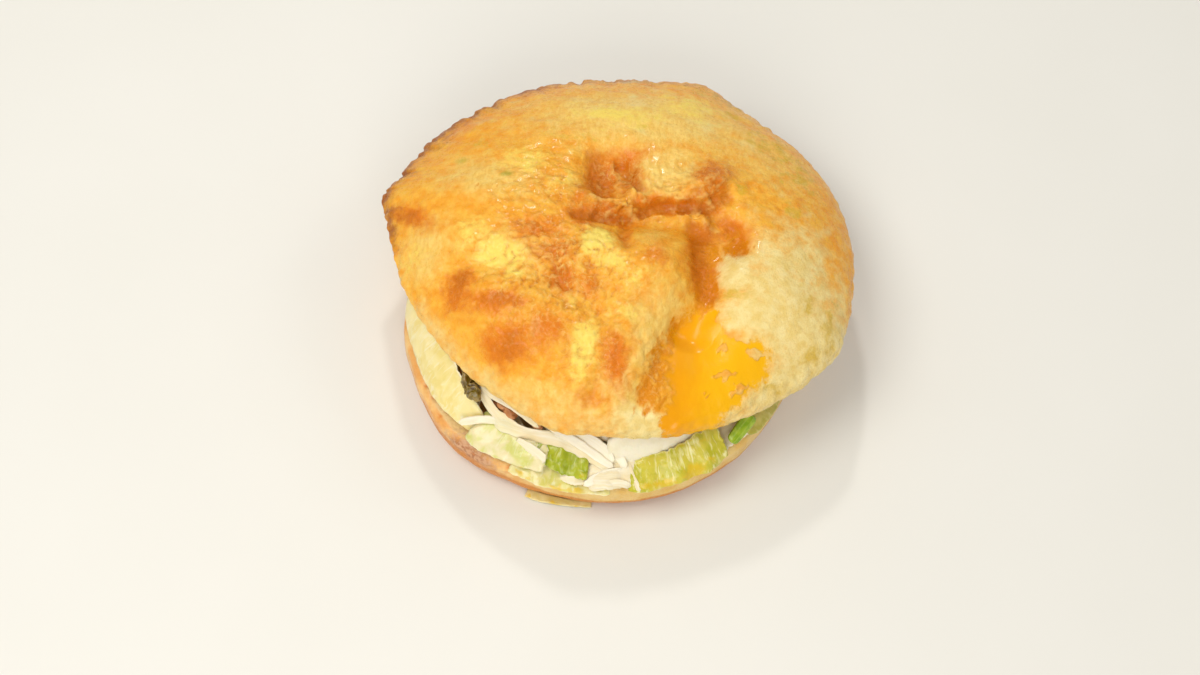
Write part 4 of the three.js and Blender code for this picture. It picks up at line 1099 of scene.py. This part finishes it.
# Broad thin flaps of cabbage that lie over one another at the front
FLAPS = (
    Leaf((269, 280.5), (56.8, 50.4), (14, 13.8), (17, 17.6), 0.8, 0.4, 0.9, 0.6, far_reach=(57, 50)),
    Leaf((275.5, 284.5), (56.4, 46.5), (13.8, 13.8), (19, 19.4), 0.6, 0.2, 0.7, 0.6),
    Leaf((257, 274), (46.4, 42.4), (20, 17.8), (21.4, 21.2), 0.5, 0.2, 1.1, 0.5, far_reach=(51.2, 44)),
    Leaf((262, 275), (56.4, 51), (14.2, 14.2), (16, 16.4), 0.4, 0.3, 1.6, 0.5),
    Leaf((309, 322), (56.2, 48.5), (13.5, 13.5), (17, 17.2), 0.8, 0.3, 1.3, 0.6),
)
# The scrap by the bottom bun: directions, reach of its outer edge at both ends, and of its inner edge
SCRAP = {"span": (252.5, 272), "outer": (58.4, 56.6), "inner": 54.8, "thick": 0.7}
PICKLE = {"place": (-33.7, -34.6, 25), "sizes": (2.3, 5.2, 2.2), "turn": 31}
ONION = {"start": (38.2, -40.7, 16.9), "end": (43.4, -33.4, 20.6), "width": 4.5, "thick": 2.3, "ribs": 9}
# How each leaf is tinted: body, darker patches, veins, how strongly the veins show, and its crinkles
LEAF_TINTS = {
    "leaf_left": ((245, 226, 158), (236, 212, 124), (251, 240, 208), 0.5, 0.25),
    "leaf_pale_front": ((236, 222, 172), (208, 208, 100), (246, 236, 208), 0.4, 0.3),
    "leaf_green_front": ((176, 182, 44), (138, 154, 6), (212, 212, 126), 0.5, 0.7),
    "leaf_low_front": ((232, 218, 150), (212, 202, 92), (244, 236, 196), 0.6, 0.4),
    "cabbage_rib": ((246, 236, 208), (240, 228, 192), (250, 244, 224), 0.1, 0.05),
    "leaf_right": ((208, 194, 66), (178, 174, 22), (236, 228, 160), 1.0, 0.5),
    "leaf_olive_right": ((204, 190, 98), (172, 162, 56), (224, 214, 148), 0.5, 0.4),
    "leaf_right_side": ((208, 204, 110), (176, 180, 60), (230, 226, 168), 0.6, 0.6),
    "leaf_back_right": ((226, 216, 156), (204, 202, 110), (240, 234, 202), 0.5, 0.5),
    "leaf_back": ((186, 184, 80), (146, 154, 34), (220, 216, 146), 0.6, 0.7),
    "leaf_back_left": ((220, 210, 138), (194, 192, 86), (238, 232, 190), 0.5, 0.5),
    "leaf_scrap": ((230, 212, 148), (214, 194, 112), (240, 228, 184), 0.15, 0.2),
}
# Yellow sauce that has run into the salad: x, y, half-length, half-width, turn, strength
SAUCE_SPOTS = (
    (-18.6, -53.6, 1.6, 0.9, -30, 1), (-16, -55, 1, 0.8, 0, 0.9), (-8.6, -56.8, 2.4, 0.9, -10, 1),
    (-3, -57.6, 2.6, 0.8, 5, 1.1), (-1.4, -54.6, 1, 0.8, 0, 0.7), (21, -53.4, 5, 1.2, 15, 0.8),
    (29, -49.6, 3.6, 1.4, 30, 1.2), (33, -46, 2, 1, 40, 0.8), (16, -55, 3, 1, 10, 0.8),
    (30.5, -42.6, 2.4, 0.7, 30, 0.7), (24, -44.6, 3, 0.6, 30, 0.6), (52, -27, 1.5, 2.5, 0, 0.6)
)


def leaf_surface(leaf, u, v):
    """The middle surface of a leaf: u runs along the rim, and v from the outer edge to the inner one."""
    start, end = leaf.span
    taper = mix(0.5, 1, (1 - np.abs(2 * u - 1) ** 8) ** 0.5) * (1 + 0.05 * np.sin(13 * u + start))
    w = 0.5 + (v - 0.5) * taper
    wave = np.sin(FULL_TURN * leaf.waves * u + start)
    along = u ** leaf.bend
    rise = mix(mix(*leaf.low, along), mix(*leaf.high, along), w)
    reach = mix(mix(*leaf.reach, w), mix(*(leaf.far_reach or leaf.reach), w), along)
    reach += leaf.bulge * np.sin(math.pi * w) + 0.4 * wave * (1 - w)
    z = rise + leaf.ruffle * wave * mix(0.9, 0.4, w)
    return np.stack([*place_at(mix(start, end, u) * DEG, reach), z], -1)


def scrap_surface(u, v):
    outer = mix(*SCRAP["outer"], u ** 0.6)
    reach = mix(outer, SCRAP["inner"], v) - 0.6 * np.exp(-((u / 0.12) ** 2)) * (1 - v)
    z = 0.6 + 0.25 * v + 0.3 * np.sin(9 * u + 1) ** 2 * (1 - v)
    return np.stack([*place_at(mix(*SCRAP["span"], u) * DEG, reach), z], -1)


def edge_bites(along, cell, seed):
    """Noise that changes along an edge alone."""
    places = np.stack([along.ravel(), np.full(along.size, seed)], 1)
    return layered(places, cell, seed).reshape(along.shape)


def sheet_skin(surface, count_u, count_v, thick, seed, ragged, crinkle):
    """A thin wavy sheet about a middle surface, with crinkles and slightly ragged edges."""
    u = np.linspace(0, 1, count_u + 1)
    v = 0.5 - 0.5 * np.cos(np.linspace(0, math.pi, count_v + 1))
    u, v = np.meshgrid(u, v, indexing="ij")
    bent_u = 0.5 + (u - 0.5) * (1 - 0.5 * ragged + 0.5 * ragged * edge_bites(v * 14, 2.4, seed))
    bent_v = 0.5 + (v - 0.5) * (1 - 0.8 * ragged + 1.6 * ragged * edge_bites(u * 40, 2.2, seed))
    middle = surface(np.clip(bent_u, 0, 1), np.clip(bent_v, -0.1, 1.1))
    normal = np.cross(np.gradient(middle, axis=0), np.gradient(middle, axis=1))
    normal /= np.linalg.norm(normal, axis=-1, keepdims=True)
    bent = stirred(middle.reshape(-1, 3), 0.8, 3, seed)
    fold = (0.5 * layered(bent, 5, seed) + 0.55 * (billows(bent, 3.6, seed + 4) - 0.6)).reshape(u.shape)
    middle = middle + normal * (crinkle * fold * np.sin(math.pi * v) ** 0.4)[..., None]
    edge = np.clip(1 - np.abs(2 * v - 1) ** 10, 0.05, 1) * np.clip(1 - np.abs(2 * u - 1) ** 24, 0.05, 1)
    half = (thick / 2 * np.sqrt(edge))[..., None]
    rings = np.concatenate([middle + normal * half, (middle - normal * half)[:, ::-1]], axis=1)
    skin = shell(rings, slit=True)
    length = np.linalg.norm(middle[-1, count_v // 2] - middle[0, count_v // 2])
    for name, values in (("v", v), ("fold", fold), ("along", u * length)):
        skin.fields[name] = np.concatenate([values, values[:, ::-1]], axis=1).ravel()
    skin.fields["sauce"] = spots(*stirred(skin.points, 0.7, 1.6, seed + 7)[:, :2].T, SAUCE_SPOTS)
    return skin


def leaf_skin(leaf, count_u, count_v, seed, ragged, crinkle):
    surface = partial(leaf_surface, leaf)
    return sheet_skin(surface, count_u, count_v, leaf.thick, seed, ragged, crinkle)


def leaf_look(name, body, patches, veins, strength):
    look = Look(name, 0.28, coat=0.4, coat_roughness=0.12, subsurface=0.2, reach=1.5)
    grain = look.noise(1.4, detail=5, harsh=0.6)
    folded = look.scaled(look.field("fold"), 0.2)
    patch = look.step(look.math("SUBTRACT", look.noise(6.5, detail=3, twist=0.4), folded), 0.38, 0.66)
    colour = look.mix(look.scaled(patch, 0.85), body, patches)
    place = look.combined(look.scaled(look.field("along"), MM), look.scaled(look.field("v"), 3 * MM))
    streaks = look.step(look.noise(1.5, detail=5, harsh=0.62, twist=0.8, at=place), 0.5, 0.7)
    colour = look.mix(look.scaled(streaks, strength), colour, veins)
    edge = look.step(look.math("ABSOLUTE", look.math("SUBTRACT", look.field("v"), 0.5)), 0.46, 0.5)
    colour = look.mix(look.scaled(edge, 0.6), colour, veins)
    colour = look.stain(colour, "sauce", grain, 0.8, 0.3, 0.9, SAUCE, 0.8)
    return look.finish(colour, look.noise(1.6, detail=4), 0.14)


def leaves():
    for number, (name, leaf) in enumerate(LEAVES.items()):
        *tints, crinkle = LEAF_TINTS[name]
        count = int((leaf.span[1] - leaf.span[0]) * 1.6)
        skin = leaf_skin(leaf, count, 26, 60 + 5 * number, 0.04 + 0.1 * crinkle, crinkle)
        add_piece(name + "_sheet", skin, leaf_look(name + "_look", *tints), name)


def leaf_scrap():
    *tints, crinkle = LEAF_TINTS["leaf_scrap"]
    skin = sheet_skin(scrap_surface, 60, 12, SCRAP["thick"], 140, 0.05, crinkle)
    skin.points[:, 2] = np.maximum(skin.points[:, 2], 0.1)
    add_piece("leaf_scrap_sheet", skin, leaf_look("leaf_scrap_look", *tints), "leaf_scrap")


def pickled_greens():
    """A wad of dark pickled greens, folded over itself."""
    skin = lump_skin(PICKLE["place"], PICKLE["sizes"], PICKLE["turn"], 60, 90)
    x, y, z = skin.points.T / 2.4
    skin.swell(0.25 * np.sin(2.2 * x + 1.4 * z) + 0.2 * np.sin(2.4 * y - 1.8 * x))
    crests = ridges(stirred(skin.points, 1.2, 3, 71), 2.1, 74)
    skin.fields["fold"] = crests
    skin.swell(0.6 * crests - 0.45)
    look = Look("pickled_greens_look", 0.25, coat=0.6, coat_roughness=0.1, subsurface=0.1, reach=0.8)
    grain = look.noise(1.0, detail=4)
    # Lighter on the crests of the folds and darker between them: painted light on the crests and painted
    # shade in the creases
    colour = look.mix(look.step(look.field("fold"), 0.1, 0.8), (88, 66, 22), (150, 124, 62))
    colour = look.mix(look.step(look.noise(3, detail=3), 0.5, 0.65), colour, (118, 98, 20))
    add_piece("pickles", skin, look.finish(colour, grain, 0.3), "pickled_greens")


def green_onion():
    """A short flattened tube of green onion, with fine ribs along it."""
    start, end = np.array(ONION["start"]), np.array(ONION["end"])
    along = (end - start) / np.linalg.norm(end - start)
    side = np.cross(along, (0.7, -0.7, 1))
    side /= np.linalg.norm(side)
    out = np.cross(side, along)
    t = 0.5 - 0.5 * np.cos(np.linspace(0.08, math.pi - 0.08, 40))[:, None]
    size = np.sqrt(np.clip(1 - np.abs(2 * t - 1) ** 9, 0, 1)) * mix(0.85, 1.1, t)
    angles = directions(40)
    ribs = np.cos(ONION["ribs"] * angles)
    u = size * np.cos(angles) * (1 + 0.03 * ribs) * ONION["width"] / 2
    v = size * np.sin(angles) * (1 + 0.03 * ribs) * ONION["thick"] / 2
    skin = shell(start + t[..., None] * (end - start) + u[..., None] * side + v[..., None] * out)
    skin.fields["rib"] = with_ends(np.repeat(ribs[None], len(t), 0))
    look = Look("green_onion_look", 0.25, coat=0.5, coat_roughness=0.1, subsurface=0.2, reach=1.0)
    colour = look.mix(look.step(look.noise(2.2, detail=3), 0.35, 0.65), (132, 164, 14), (164, 186, 40))
    colour = look.mix(look.scaled(look.step(look.field("rib"), 0.2, 1.0), 0.3), colour, (190, 204, 90))
    add_piece("onion", skin, look.finish(colour, look.noise(0.8, detail=3), 0.15), "green_onion")


# The studio

# Lights in metres: name, place, size, power, colour
WARM = (1.0, 0.99, 0.97)
LIGHTS = (
    ("key", (-0.4, -0.12, 0.8), 0.45, 3.5, WARM), ("front", (0.0, -0.7, 0.42), 0.5, 2.9, WARM),
    ("glint", (-0.1, 0.5, 0.6), 0.06, 1.1, (1.0, 1.0, 1.0)), ("right", (0.55, 0.2, 0.6), 0.3, 0.7, WARM),
)


def add_camera():
    elevation, roll = CAMERA["elevation"] * DEG, CAMERA["roll"] * DEG
    back = Vector((0, -math.cos(elevation), math.sin(elevation)))
    level = Vector((1, 0, 0))
    above = back.cross(level)
    right = math.cos(roll) * level + math.sin(roll) * above
    up = math.cos(roll) * above - math.sin(roll) * level
    eye = (Vector(CAMERA["target"]) + back * CAMERA["distance"]) * MM
    data = bpy.data.cameras.new("camera")
    data.lens = CAMERA["lens"]
    data.sensor_width = CAMERA["sensor"]
    data.clip_start = 0.01
    camera = new_object("camera", data)
    camera.matrix_world = Matrix.Translation(eye) @ Matrix((right, up, back)).transposed().to_4x4()
    bpy.context.scene.camera = camera


def add_area_light(name, place, size, power, colour):
    data = bpy.data.lights.new(name, "AREA")
    data.size = size
    data.energy = power
    data.color = colour
    light = new_object(name, data)
    light.location = place
    light.rotation_euler = (-Vector(place)).to_track_quat("-Z", "Y").to_euler()


def add_studio():
    scene = bpy.context.scene
    scene.view_settings.view_transform = "Standard"
    world = bpy.data.worlds.new("studio")
    scene.world = world
    world.use_nodes = True
    background = world.node_tree.nodes["Background"].inputs
    background[0].default_value = (0.97, 0.985, 1.0, 1)
    background[1].default_value = 0.38
    for light in LIGHTS:
        add_area_light(*light)
    mesh = bpy.data.meshes.new("floor")
    mesh.from_pydata([(-2, -2, 0), (2, -2, 0), (2, 2, 0), (-2, 2, 0)], [], [(0, 1, 2, 3)])
    look = Look("floor", 0.5)
    colour = look.mix(look.noise(60, detail=2), (234, 230, 220), (230, 226, 215))
    mesh.materials.append(look.finish(colour))
    floor = new_object("floor", mesh)


add_camera()
add_studio()
bottom_bun()
top_bun()
fried_egg()
meat_patty()
shredded_cabbage()
leaves()
leaf_scrap()
pickled_greens()
green_onion()

bpy.context.view_layer.update()
